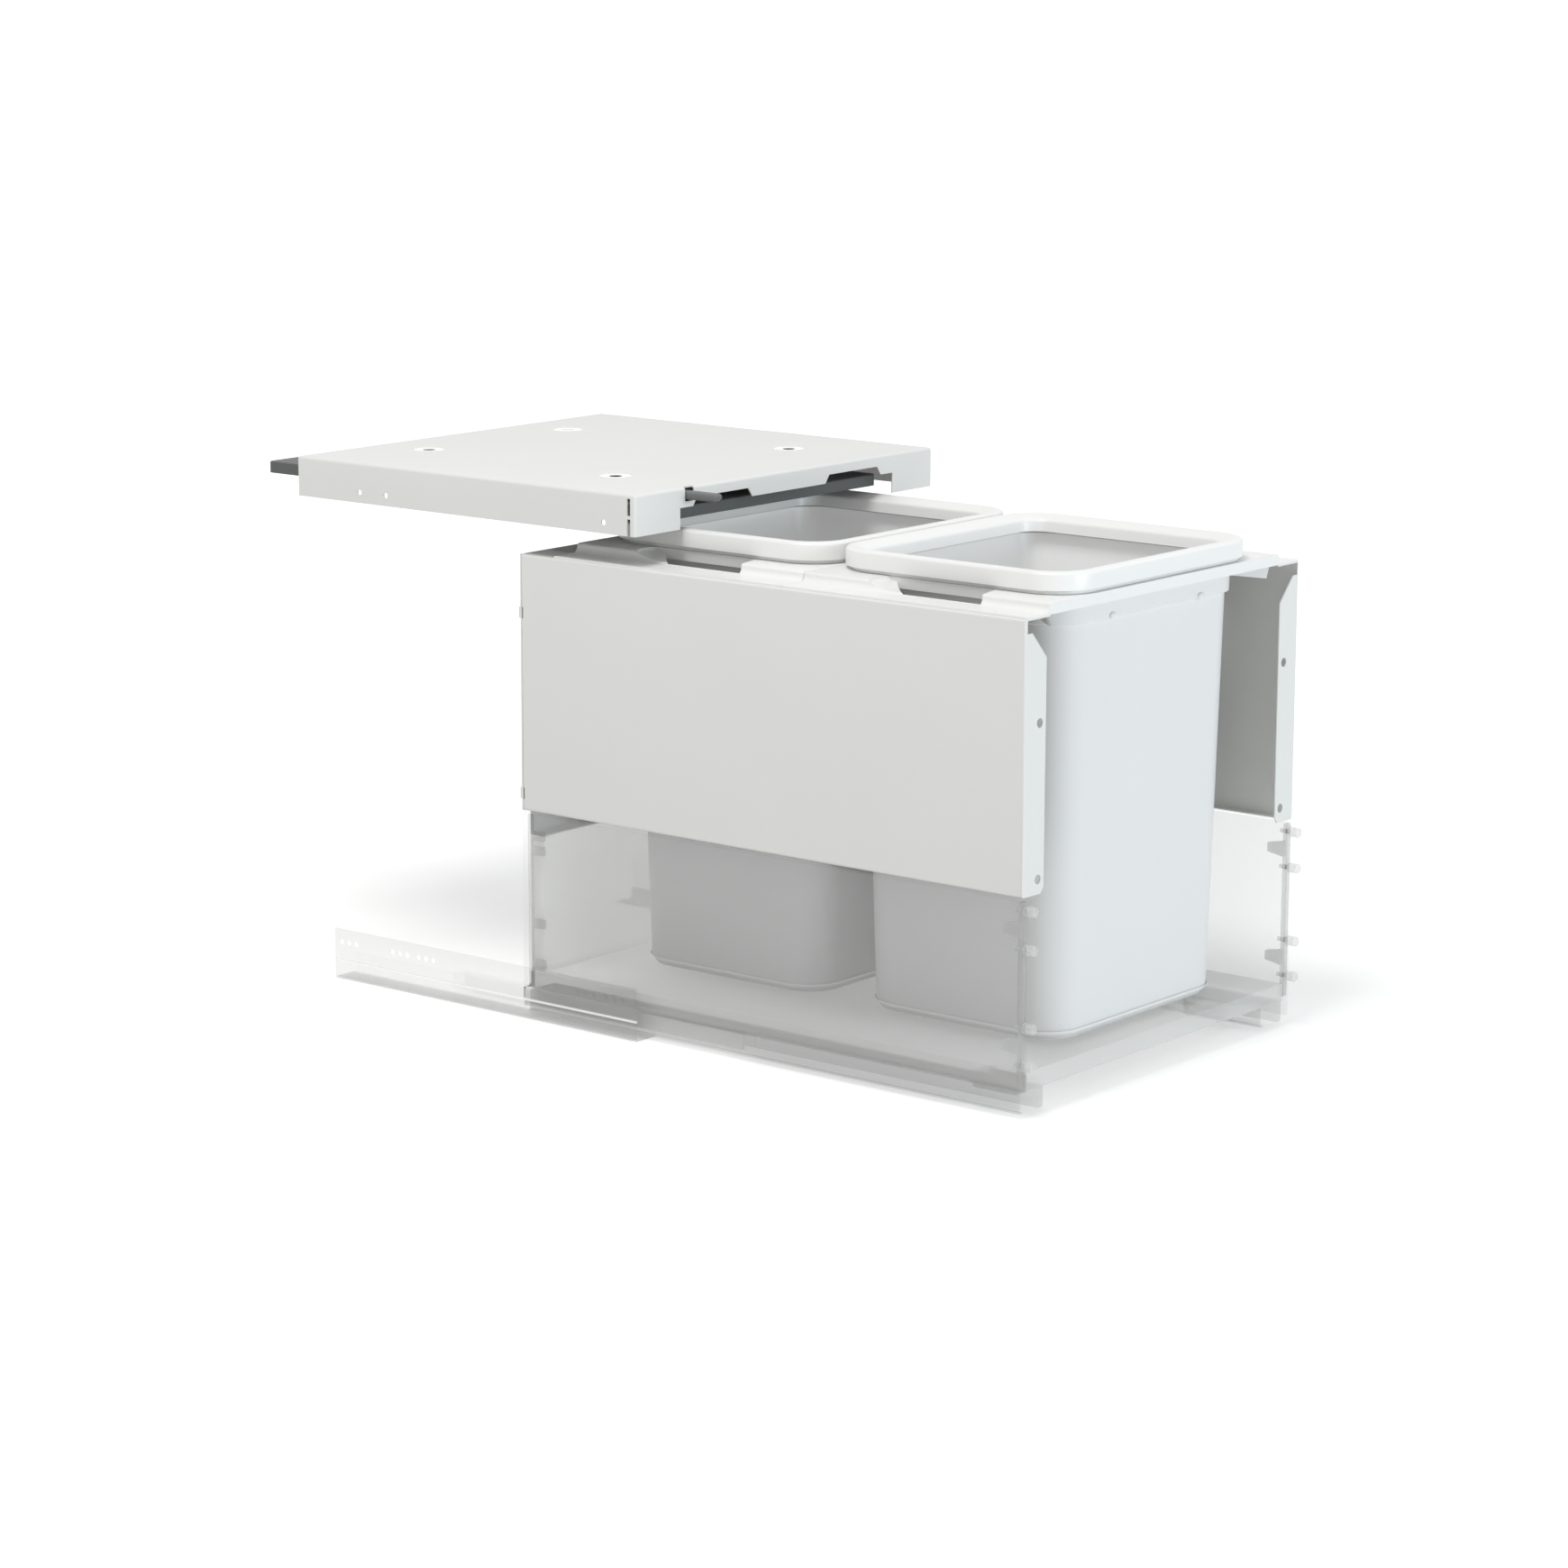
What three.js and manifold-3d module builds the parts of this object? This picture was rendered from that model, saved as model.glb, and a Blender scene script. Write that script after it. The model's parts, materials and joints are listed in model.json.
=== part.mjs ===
// Pull-out waste cabinet fitting: a drawer on partial-extension runners that carries two lift-out
// bins under clamping bag rings, and a fixed cover pan whose swinging lid is lowered onto the rings
// by a trigger arm as the drawer shuts. Millimetres, +Z up, +X right, the drawer's front faces -Y.
// The drawer stands open: the drawer parts start at y = 0 and the cabinet parts lie behind them.

import Module from 'manifold-3d';
import * as THREE from 'three';
import { mergeVertices } from 'three/addons/utils/BufferGeometryUtils.js';

const wasm = await Module();
wasm.setup();

// ---------------------------------------------------------------- driving dimensions

const seat = 0.3; // gap between pieces that touch
const running = 0.4; // gap between pieces that slide or turn on each other

const drawer = {
  halfWidth: 201.5, // outer face of the side profiles
  length: 543,
  travel: 393,
  sideHeight: 162.8,
  sideThickness: 9.1,
  sideWall: 1.8,
  footHeight: 26, // thicker inner foot that the floor board butts against
  footDepth: 1.1,
  skirtDrop: 14.2,
  skirtThickness: 3.5,
  sideFloor: 3, // solid strips under and over the hollow of the side profile
  sideCap: 3.2,
  topChamfer: 2,
  boardThickness: 16,
  backHeight: 123,
};

const panel = {
  height: 228,
  sheet: 1.5,
  topFlange: 33.5,
  bottomFlange: 8.5,
  frontFlange: 29,
  frontGap: 12, // front flange stops this far under the top
  chamferRun: 20,
  chamferRise: 22,
  bendRadius: 1.8,
  cornerCut: 5, // front flange's lower corner
  bendRelief: 2, // front flange beside the bottom bend
  holeRadius: 4,
  holeInset: 20.8,
  holeHeights: [12.5, 141.4],
  hookHeight: 10,
  hookProud: 1.6,
  hookLevels: [15.4, 176.4],
  slotPlay: 0.8, // slots in the rear panel round the hooks
};

const carrier = {
  rearSpace: 38.1, // drawer length left free behind the two bin frames
  seam: 0.5,
  plateauOverlap: 1, // plateau over the panels' top flanges
  brimInset: 2, // brim inside the panels' outer faces
  brim: 1.2,
  rise: 9.1, // plateau above the brim's underside
  wall: 2.5,
  edgeRadius: 2.2,
  cove: 5.5, // between the plateau's side and the brim
  openingGap: 1, // round the bin's collar
  gussetDepth: 18,
  gussetInset: 6,
  gussetSlant: 8,
};

const scoop = {
  strip: 5, // collar left between the bin's opening and the finger scoop
  front: 66.5,
  frontSkew: 8,
  rear: 146,
  rearSkew: 30,
  overlap: 3.5, // scoop beyond the plateau's edge
  dishLength: 42,
  dishDepth: 8,
  dishInset: 2, // dish centre inside the middle of the scoop
  dishFloor: 0.8,
  backing: 3, // plastic left round the dish
};

const bin = {
  floorClearance: 6.8,
  halfBase: 124,
  halfMouth: 131.5,
  baseFront: 21,
  mouthFront: 13.5,
  baseRear: 28.2, // from the rear end of its frame
  mouthRear: 16.7,
  cornerRadius: 33,
  wall: 2.5,
  collar: 3, // step outwards below the rim
  collarHeight: 27.6,
  rimReach: 5.5,
  rimThickness: 3,
  baseRadius: 5,
  nubSpacing: 130,
  nubWidth: 8,
  nubHeight: 4.5,
  nubLift: 0.5, // above the collar's step
  nubProud: 1.5,
};

const ring = {
  halfWidth: 143.8,
  front: 1.3,
  rear: 2.7, // from the rear end of its frame
  height: 15.4,
  innerHalf: 121,
  innerFront: 24.8,
  innerRear: 25.9,
  cornerRadius: 42,
  innerRadius: 22,
  shoulder: 2.8, // outer edge below the crest
  fall: 4.4, // inner edge below the crest
  skin: 2.2,
  innerLift: 1.2, // inner edge stops this far above the outer one
};

const cover = {
  sideGap: 7.5, // between the drawer's sides and the cabinet's walls
  length: 400.6,
  depth: 35.9,
  setback: 11, // behind the shut drawer's front plane
  sheet: 1.2,
  bendRadius: 2.5,
  tabInner: 149.5,
  stripInner: 133.8,
  stripDrop: 17.3,
  notchDrop: 9.6,
  notchSlope: 7,
  notchInner: 50,
  slitStart: 5.5,
  slitWidth: 3.5,
  bridge: 3,
  sideHoleRadius: 2.5,
  sideHoleHeight: 9.5,
  sideHoles: [35.7, 292.4, 324.6],
  dishRadius: 16.5,
  dishFloorRadius: 10.2,
  dishHoleRadius: 4.75,
  dishDepth: 2.4,
  dishes: [[121, 98], [95.5, 345.7]],
};

const lid = {
  halfWidth: 147,
  length: 487,
  height: 10.5,
  skin: 2.8,
  rim: 2.5,
  ribHeight: 5,
  ribCount: 4,
  cornerRadius: 6,
  setback: 16, // behind the cover's front edge, lid raised
  seatedGap: 0.6, // lid's underside above the rings when lowered
  drop: 5.4,
  headroom: 19.4, // raised lid's top to the cover's top
};

const swing = {
  armDrop: 15, // lid pivot below the shaft, lid raised
  armReach: 13.9, // lid pivot behind the shaft, lid raised
  firstPivot: 43, // front lid pivot behind the lid's front edge
  pivotSpacing: 300,
  armInner: 149.5,
  armThickness: 4,
  hubRadius: 6,
  eyeRadius: 5,
  shaftRadius: 3,
  pinRadius: 2.2,
  pinHead: 0.6,
  pinInset: 4.6, // lid pivot above the lid's underside
  bracketInner: 157,
  bracketSheet: 1.5,
  bracketDepth: 16,
  bracketFlange: 12,
  bracketOverhang: 12,
  bracketBend: 2,
  shaftEnd: 1.5, // past the bracket
};

const trigger = {
  centre: 137, // left of the middle
  width: 10,
  tipHeight: 8.5,
  height: 9.2,
  noseDrop: 1.8, // top of the exposed nose below the rest
  edgeRadius: 2.5,
  reach: 32, // tip in front of the cover
  shoulder: 8, // full height ends this far behind the cover's front
  windowDepth: 4, // window cut back into the cover's top
  stroke: 27,
  windowGap: 1,
  guideGap: 0.8,
  guideSheet: 1.2,
  guideFlange: 9,
  guideStart: 14,
  rearMargin: 2.5, // arm behind its drive pin
};

const rocker = {
  longArm: 40,
  shortArm: 18.5,
  thickness: 3,
  halfWidth: 5,
  pinRadius: 2,
  pivotRadius: 3,
  slotPlay: 0.9,
  shaftGap: 2, // between the lid's shaft and the trigger's pin
  clearance: 2.2, // above the raised lid
  shoulderReach: 2.2, // stud's shoulder and head beyond its pivot
  headReach: 1.6,
  headHeight: 1.4,
  postFlange: 3,
  postFlangeHeight: 0.9,
};

const rail = {
  height: 47,
  length: 363.5,
  setback: 12.5, // behind the shut drawer's front plane
  sheet: 1.3,
  creaseHeight: 17.4,
  creaseInset: 5.5,
  ribInset: 20.5, // upright rib that the middle member rides on, inside the drawer's side
  holeRadius: 2.3,
  holeHeight: 34.9,
  holePitch: 9.1,
  holeCentres: [25, 57.5, 249.7, 281.9, 345.9],
};

const runner = {
  inset: 4.8, // drawer member, an inverted channel under the floor board
  width: 33.7,
  legHeight: 19.4,
  lip: 6, // turned in under each leg
  sheet: 1.4,
  setback: 4,
  length: 536,
  middleHalf: 8.5,
  middleLength: 340,
  middleStart: 300,
  middleLeg: 14,
};

const latch = {
  start: 30,
  length: 46,
  width: 14,
  height: 15,
  cornerRadius: 2.5,
  dimpleRadius: 4.5,
  dimpleDepth: 1.5,
  dimpleInsets: [6, 9],
  eyeDepth: 3,
  eyeGap: 0.5,
  eyeWall: 1.8,
  leverLength: 34,
  leverThickness: 3,
  leverHeight: 9,
  leverLean: 1,
  tabReach: 8,
  tabLead: 4, // thumb tab in front of the lever's end
  pivotRadius: 2,
  pivotInset: 8, // from the housing's rear end
};

const dowel = {
  radius: 4.5,
  length: 10.3,
  stemRadius: 2,
  stemLength: 9,
  collarRadius: 3.4,
  boreGap: 0.2,
  pairSpacing: 32,
  lowest: 22.5, // above the underside of the floor board
  highest: 10.8, // below the top of the side profile
};

const fixing = {
  thickness: 4.9, // front and rear brackets stand in the hollow side profile
  spine: 5,
  catchFront: 14, // tapered catch between the dowels of a pair
  catchRear: 8,
  catchReach: 21,
  rearInset: 4.5, // rear bracket stops this far from the profile's end
  rearSpine: 3,
  clipLength: 17,
  clipHeight: 8,
  clipLevels: [25, 61.5, 127.4, 140.5],
};

// ---------------------------------------------------------------- derived levels, from the rail's underside

const floorBottom = 23.4;
const floorTop = floorBottom + drawer.boardThickness;
const sideTop = floorBottom + drawer.sideHeight;
const panelBottom = sideTop + seat;
const panelTop = panelBottom + panel.height;
const brimBottom = panelTop + seat;
const plateauTop = brimBottom + carrier.rise;
const rimBottom = plateauTop + seat;
const rimTop = rimBottom + bin.rimThickness;
const ringBottom = rimTop + seat;
const ringTop = ringBottom + ring.height;
const lidBottom = ringTop + lid.seatedGap + lid.drop;
const lidTop = lidBottom + lid.height;
const coverTop = lidTop + lid.headroom;
const coverBottom = coverTop - cover.depth;
const coverUnderside = coverTop - cover.sheet;

const coverFront = drawer.travel + cover.setback;
const lidFront = coverFront + lid.setback;
const railFront = drawer.travel + rail.setback;
const cabinetHalf = drawer.halfWidth + cover.sideGap;
const framePitch = (drawer.length - carrier.rearSpace + carrier.seam) / 2;
const frameLength = framePitch - carrier.seam;
const halfPlateau = drawer.halfWidth - panel.topFlange + carrier.plateauOverlap;
const halfBrim = drawer.halfWidth - carrier.brimInset;
const ribAt = drawer.halfWidth - rail.ribInset;
const runnerOuter = drawer.halfWidth - runner.inset;
const runnerInner = runnerOuter - runner.width;
const innerFace = drawer.halfWidth - drawer.sideThickness;
const footFace = innerFace - drawer.footDepth;
const hollowBottom = floorBottom + drawer.sideFloor;
const hollowTop = sideTop - drawer.sideCap;
const openingGrowth = bin.collar + carrier.openingGap;
const openingHalf = bin.halfMouth + openingGrowth;
const openingFront = bin.mouthFront - openingGrowth;
const openingRear = frameLength - bin.mouthRear + openingGrowth;
const openingRadius = bin.cornerRadius + openingGrowth;
const scoopInner = openingHalf + scoop.strip;

// ---------------------------------------------------------------- materials

const paint = (color, roughness, metalness = 0, opacity = 1) => new THREE.MeshStandardMaterial({
  color,
  roughness,
  metalness,
  opacity,
  transparent: opacity < 1,
});

const finish = {
  paintedSteel: () => paint(0xdfe0df, 0.45, 0.1),
  whitePlastic: () => paint(0xf5f5f3, 0.42),
  binPlastic: () => paint(0xe2e4e5, 0.5),
  lidPlastic: () => paint(0x4d504e, 0.6),
  steel: () => paint(0xb8bbbd, 0.35, 0.8),
  darkPlastic: () => paint(0x55585a, 0.6),
  ghostProfile: () => paint(0xd6d9da, 0.3, 0, 0.35),
  ghostBoard: () => paint(0xd2d4d3, 0.5, 0, 0.4),
  ghostSteel: () => paint(0xc4c8ca, 0.35, 0.2, 0.5),
};

// ---------------------------------------------------------------- shapes and solids

const vector = (x, y, z) => new THREE.Vector3(x, y, z);

const polygon = (points) => new THREE.Shape(points.map(([u, v]) => new THREE.Vector2(u, v)));

const axisFrames = {
  x: new THREE.Matrix4().makeBasis(vector(0, 1, 0), vector(0, 0, 1), vector(1, 0, 0)),
  y: new THREE.Matrix4().makeBasis(vector(1, 0, 0), vector(0, 0, 1), vector(0, -1, 0)),
  z: new THREE.Matrix4(),
};

// Extrudes a shape along one axis. Its coordinates are (y, z) along x, (x, z) along y, (x, y) along z.
function prism(shape, axis, from, to, curveSegments = 8) {
  const solid = new THREE.ExtrudeGeometry(shape, { depth: to - from, bevelEnabled: false, curveSegments });
  solid.applyMatrix4(axisFrames[axis]);
  const start = axis === 'y' ? to : from;
  return solid.translate(axis === 'x' ? start : 0, axis === 'y' ? start : 0, axis === 'z' ? start : 0);
}

function block(x0, x1, y0, y1, z0, z1) {
  const solid = new THREE.BoxGeometry(x1 - x0, y1 - y0, z1 - z0);
  return solid.translate((x0 + x1) / 2, (y0 + y1) / 2, (z0 + z1) / 2);
}

function disc(u, v, radius) {
  const shape = new THREE.Shape();
  shape.absarc(u, v, radius, 0, 2 * Math.PI, false);
  return shape;
}

// Two round ends joined by their tangent lines, as a link or a slot.
function link([u0, v0, r0], [u1, v1, r1]) {
  const heading = Math.atan2(v1 - v0, u1 - u0);
  const spread = Math.acos((r0 - r1) / Math.hypot(u1 - u0, v1 - v0));
  const shape = new THREE.Shape();
  shape.absarc(u0, v0, r0, heading + spread, heading - spread + 2 * Math.PI, false);
  shape.absarc(u1, v1, r1, heading - spread, heading + spread, false);
  return shape;
}

function roundedRectangle(x0, x1, y0, y1, radius) {
  const shape = new THREE.Shape();
  shape.absarc(x1 - radius, y1 - radius, radius, 0, Math.PI / 2, false);
  shape.absarc(x0 + radius, y1 - radius, radius, Math.PI / 2, Math.PI, false);
  shape.absarc(x0 + radius, y0 + radius, radius, Math.PI, 1.5 * Math.PI, false);
  shape.absarc(x1 - radius, y0 + radius, radius, 1.5 * Math.PI, 2 * Math.PI, false);
  return shape;
}

// Rounds the corners of an open path into short arcs, as sheet is bent.
function bent(points, radius, steps = 3) {
  const path = points.map(([u, v]) => new THREE.Vector2(u, v));
  return path.flatMap((corner, i) => {
    if (i === 0 || i === path.length - 1) return [corner];
    const back = path[i - 1].clone().sub(corner).normalize();
    const ahead = path[i + 1].clone().sub(corner).normalize();
    const half = Math.acos(back.dot(ahead)) / 2;
    const centre = back.clone().add(ahead).normalize().multiplyScalar(radius / Math.sin(half)).add(corner);
    const start = back.multiplyScalar(radius / Math.tan(half)).add(corner).sub(centre);
    const end = ahead.multiplyScalar(radius / Math.tan(half)).add(corner).sub(centre);
    const turn = Math.atan2(start.cross(end), start.dot(end));
    const origin = new THREE.Vector2();
    return Array.from({ length: steps + 1 }, (_, k) => (
      start.clone().rotateAround(origin, (turn * k) / steps).add(centre)));
  });
}

// Sheet of a given thickness on the right-hand side of a path.
function strip(path, thickness) {
  const inner = path.map((point, i) => {
    const before = path[Math.max(i - 1, 0)];
    const after = path[Math.min(i + 1, path.length - 1)];
    const into = (i ? point.clone().sub(before) : after.clone().sub(point)).normalize();
    const out = (i < path.length - 1 ? after.clone().sub(point) : point.clone().sub(before)).normalize();
    const normal = new THREE.Vector2(into.y + out.y, -into.x - out.x).normalize();
    const reach = thickness / (normal.x * into.y - normal.y * into.x);
    return normal.multiplyScalar(reach).add(point);
  });
  return new THREE.Shape([...path, ...inner.reverse()]);
}

// Closed outline of a rounded rectangle at one level, for lofting.
function level(halfWidth, front, rear, radius, z, segments = 6) {
  const corners = [[1, rear - radius], [-1, rear - radius], [-1, front + radius], [1, front + radius]];
  return corners.flatMap(([sign, y], quarter) => Array.from({ length: segments + 1 }, (_, i) => {
    const angle = (quarter + i / segments) * Math.PI / 2;
    return vector(sign * (halfWidth - radius) + radius * Math.cos(angle), y + radius * Math.sin(angle), z);
  }));
}

// Skins a run of outlines, capped at both ends, or joined end to end when looped.
function loft(levels, looped = false) {
  const count = levels[0].length;
  const index = [];
  const bands = looped ? levels.length : levels.length - 1;
  for (let band = 0; band < bands; band++) {
    const low = band * count;
    const high = ((band + 1) % levels.length) * count;
    for (let i = 0; i < count; i++) {
      const next = (i + 1) % count;
      index.push(low + i, low + next, high + next, low + i, high + next, high + i);
    }
  }
  if (!looped) {
    const top = (levels.length - 1) * count;
    for (let i = 1; i < count - 1; i++) index.push(0, i + 1, i, top, top + i, top + i + 1);
  }
  const geometry = new THREE.BufferGeometry();
  geometry.setAttribute('position', new THREE.Float32BufferAttribute(
    levels.flat().flatMap((point) => point.toArray()), 3));
  geometry.setIndex(index);
  geometry.computeVertexNormals();
  return geometry;
}

function toSolid(geometry) {
  const bare = geometry.clone();
  bare.deleteAttribute('normal');
  bare.deleteAttribute('uv');
  const merged = mergeVertices(bare, 1e-4);
  return new wasm.Manifold(new wasm.Mesh({
    numProp: 3,
    vertProperties: new Float32Array(merged.attributes.position.array),
    triVerts: new Uint32Array(merged.index.array),
  }));
}

function toGeometry(solid) {
  const mesh = solid.getMesh();
  const geometry = new THREE.BufferGeometry();
  geometry.setAttribute('position', new THREE.BufferAttribute(mesh.vertProperties, 3));
  geometry.setIndex(new THREE.BufferAttribute(mesh.triVerts, 1));
  geometry.computeVertexNormals();
  return geometry;
}

function combine(operation, body, others) {
  return toGeometry(others.reduce((solid, other) => solid[operation](toSolid(other)), toSolid(body)));
}

const join = (body, ...others) => combine('add', body, others);
const cut = (body, ...others) => combine('subtract', body, others);
const common = (body, ...others) => combine('intersect', body, others);

// The left-hand twin of a piece: x is reversed and every face turned round.
function mirrored(geometry) {
  const twin = geometry.index ? geometry.toNonIndexed() : geometry.clone();
  twin.scale(-1, 1, 1);
  const position = twin.attributes.position;
  for (let i = 0; i < position.count; i += 3) {
    const second = vector().fromBufferAttribute(position, i + 1);
    const third = vector().fromBufferAttribute(position, i + 2);
    position.setXYZ(i + 1, third.x, third.y, third.z);
    position.setXYZ(i + 2, second.x, second.y, second.z);
  }
  twin.computeVertexNormals();
  return twin;
}

// ---------------------------------------------------------------- assembly groups

const cabinet = new THREE.Group();
const fixedParts = new THREE.Group();
const lidParts = new THREE.Group();
const drawerParts = new THREE.Group();
cabinet.add(fixedParts, lidParts, drawerParts);

function place(group, name, geometry, material, position = [0, 0, 0]) {
  const mesh = new THREE.Mesh(geometry, material);
  mesh.name = name;
  mesh.position.set(...position);
  group.add(mesh);
}

// Places a right-hand piece and its left-hand twin.
function placePair(group, name, geometry, makeMaterial, position = [0, 0, 0]) {
  place(group, `${name}_right`, geometry, makeMaterial(), position);
  place(group, `${name}_left`, mirrored(geometry), makeMaterial(), [-position[0], position[1], position[2]]);
}

// ---------------------------------------------------------------- cover pan

function coverFlange() {
  const { tabInner, stripInner, notchSlope, notchInner } = cover;
  const stripBottom = coverTop - cover.stripDrop;
  const notchTop = coverTop - cover.notchDrop;
  const half = [
    [notchInner, stripBottom],
    [notchInner + notchSlope, notchTop],
    [stripInner - notchSlope, notchTop],
    [stripInner, stripBottom],
    [tabInner, stripBottom],
    [tabInner, coverBottom],
    [cabinetHalf, coverBottom],
    [cabinetHalf, coverTop - cover.bendRadius],
    [cabinetHalf - cover.bendRadius, coverTop],
  ];
  const left = half.map(([x, z]) => [-x, z]).reverse();
  return prism(polygon([...left, ...half]), 'y', coverFront, coverFront + cover.sheet);
}

// Pressed dish with a hole, hanging from the cover's top.
function coverDish([x, y]) {
  const { dishRadius, dishFloorRadius, dishHoleRadius, dishDepth, sheet } = cover;
  const profile = [
    [dishHoleRadius, -dishDepth - sheet],
    [dishFloorRadius, -dishDepth - sheet],
    [dishRadius, -sheet],
    [dishRadius + sheet, -sheet],
    [dishRadius + sheet, 0],
    [dishRadius, 0],
    [dishFloorRadius, -dishDepth],
    [dishHoleRadius, -dishDepth],
    [dishHoleRadius, -dishDepth - sheet],
  ].map(([r, z]) => new THREE.Vector2(r, z));
  return new THREE.LatheGeometry(profile, 16).rotateX(Math.PI / 2).translate(x, coverFront + y, coverTop);
}

function coverPan() {
  const { sheet, slitStart, slitWidth, bridge } = cover;
  const rear = coverFront + cover.length;
  const bend = bent([
    [-cabinetHalf, coverBottom], [-cabinetHalf, coverTop],
    [cabinetHalf, coverTop], [cabinetHalf, coverBottom],
  ], cover.bendRadius);
  const shell = join(prism(strip(bend, sheet), 'y', coverFront, rear), coverFlange());
  const centres = cover.dishes.flatMap(([x, y]) => [[x, y], [-x, y]]);
  const openings = centres.map(([x, y]) => prism(
    disc(x, coverFront + y, cover.dishRadius), 'z', coverUnderside - 1, coverTop + 1));
  const slitTop = coverTop - cover.bendRadius - 1;
  const middle = (coverBottom + slitTop) / 2;
  const slits = [[coverBottom - 1, middle - bridge / 2], [middle + bridge / 2, slitTop]].flatMap(
    ([low, high]) => [-1, 1].map((side) => block(
      side * cabinetHalf - 2, side * cabinetHalf + 2,
      coverFront + slitStart, coverFront + slitStart + slitWidth, low, high)));
  const holes = cover.sideHoles.map((y) => prism(
    disc(coverFront + y, coverBottom + cover.sideHoleHeight, cover.sideHoleRadius),
    'x', -cabinetHalf - 1, cabinetHalf + 1));
  const window = block(
    -trigger.centre - trigger.width / 2 - trigger.windowGap,
    -trigger.centre + trigger.width / 2 + trigger.windowGap,
    coverFront - 1, coverFront + trigger.windowDepth,
    coverUnderside - running - trigger.height - trigger.windowGap, coverTop + 1);
  return join(cut(shell, ...openings, ...slits, ...holes, window), ...centres.map(coverDish));
}

place(fixedParts, 'cover_pan', coverPan(), finish.paintedSteel());

// ---------------------------------------------------------------- lid, swing arms and shafts

const pinLevel = lidBottom + swing.pinInset;
const shaftLevel = pinLevel + swing.armDrop;
const pivotRows = [['front', 0], ['rear', swing.pivotSpacing]].map(([row, offset]) => {
  const pin = lidFront + swing.firstPivot + offset;
  return { row, pin, shaft: pin - swing.armReach };
});

// Shallow tray with its rim down: a skin, a rim and cross ribs.
function lidPlate() {
  const { halfWidth, length, skin, rim, ribHeight, ribCount, cornerRadius } = lid;
  const outer = roundedRectangle(-halfWidth, halfWidth, lidFront, lidFront + length, cornerRadius);
  outer.holes.push(roundedRectangle(
    rim - halfWidth, halfWidth - rim, lidFront + rim, lidFront + length - rim, cornerRadius - rim));
  const rimWall = prism(outer, 'z', lidBottom, lidTop, 4);
  const skinHalf = halfWidth - rim / 2;
  const top = block(
    -skinHalf, skinHalf, lidFront + rim / 2, lidFront + length - rim / 2, lidTop - skin, lidTop);
  const pitch = length / (ribCount + 1);
  const ribs = Array.from({ length: ribCount }, (_, i) => block(
    -skinHalf, skinHalf, lidFront + pitch * (i + 1) - 1, lidFront + pitch * (i + 1) + 1,
    lidTop - skin - ribHeight, lidTop - skin / 2));
  const cornered = common(join(top, ...ribs), prism(
    roundedRectangle(-halfWidth, halfWidth, lidFront, lidFront + length, cornerRadius),
    'z', lidBottom, lidTop, 4));
  const bores = pivotRows.map(({ pin }) => prism(
    disc(pin, pinLevel, swing.pinRadius + seat), 'x', halfWidth - rim - 1, halfWidth + 1));
  return cut(join(rimWall, cornered), ...bores, ...bores.map(mirrored));
}

// Pin through the lid's rim, with a head inside the tray.
function lidPin(y) {
  const { pinRadius, pinHead, armInner, armThickness } = swing;
  const innerEnd = lid.halfWidth - lid.rim - seat;
  return join(
    prism(disc(y, pinLevel, pinRadius), 'x', innerEnd - 2, armInner + armThickness + 1, 5),
    prism(disc(y, pinLevel, pinRadius + pinHead), 'x', innerEnd - 2, innerEnd, 5));
}

function swingArm(shaft, pin) {
  const { armInner, armThickness, hubRadius, eyeRadius, shaftRadius, pinRadius } = swing;
  const outline = link([shaft, shaftLevel, hubRadius], [pin, pinLevel, eyeRadius]);
  outline.holes.push(disc(shaft, shaftLevel, shaftRadius + seat), disc(pin, pinLevel, pinRadius + running));
  return prism(outline, 'x', armInner, armInner + armThickness, 8);
}

function lidBracket() {
  const { bracketInner, bracketSheet, bracketDepth, bracketFlange, shaftRadius } = swing;
  const front = pivotRows[0].shaft - swing.bracketOverhang;
  const rear = pivotRows[1].shaft + swing.bracketOverhang;
  const top = coverUnderside - seat;
  const path = bent([
    [bracketInner + bracketFlange, top], [bracketInner, top], [bracketInner, top - bracketDepth],
  ], swing.bracketBend).reverse();
  const section = strip(path, bracketSheet);
  const holes = pivotRows.map(({ shaft }) => prism(
    disc(shaft, shaftLevel, shaftRadius + running), 'x', bracketInner - 1, bracketInner + 4));
  return cut(prism(section, 'y', front, rear), ...holes);
}

place(lidParts, 'lid_plate', lidPlate(), finish.lidPlastic());
placePair(fixedParts, 'lid_bracket', lidBracket(), finish.steel);
for (const { row, pin, shaft } of pivotRows) {
  placePair(lidParts, `lid_pin_${row}`, lidPin(pin), finish.steel);
  placePair(lidParts, `lid_arm_${row}`, swingArm(shaft, pin), finish.darkPlastic);
  const reach = swing.bracketInner + swing.bracketSheet + swing.shaftEnd;
  place(lidParts, `lid_shaft_${row}`, prism(
    disc(shaft, shaftLevel, swing.shaftRadius), 'x', -reach, reach, 6), finish.steel());
}

// ---------------------------------------------------------------- trigger arm and rocker

const triggerTop = coverUnderside - running;
const triggerBottom = triggerTop - trigger.height;
const shelfLevel = shaftLevel + swing.shaftRadius + running;
const rockerBottom = lidTop + rocker.clearance;
const rockerTop = rockerBottom + rocker.thickness;
const halfTurn = Math.atan(trigger.stroke / 2 / rocker.longArm);
const frontShaft = pivotRows[0].shaft;
const drivePin = [
  -trigger.centre, frontShaft + swing.shaftRadius + rocker.shaftGap + rocker.pinRadius,
];
const rockerPivot = [drivePin[0] + rocker.longArm, drivePin[1] + trigger.stroke / 2];
const lidPost = [
  rockerPivot[0] + rocker.shortArm, rockerPivot[1] + rocker.shortArm * Math.tan(halfTurn),
];

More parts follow.
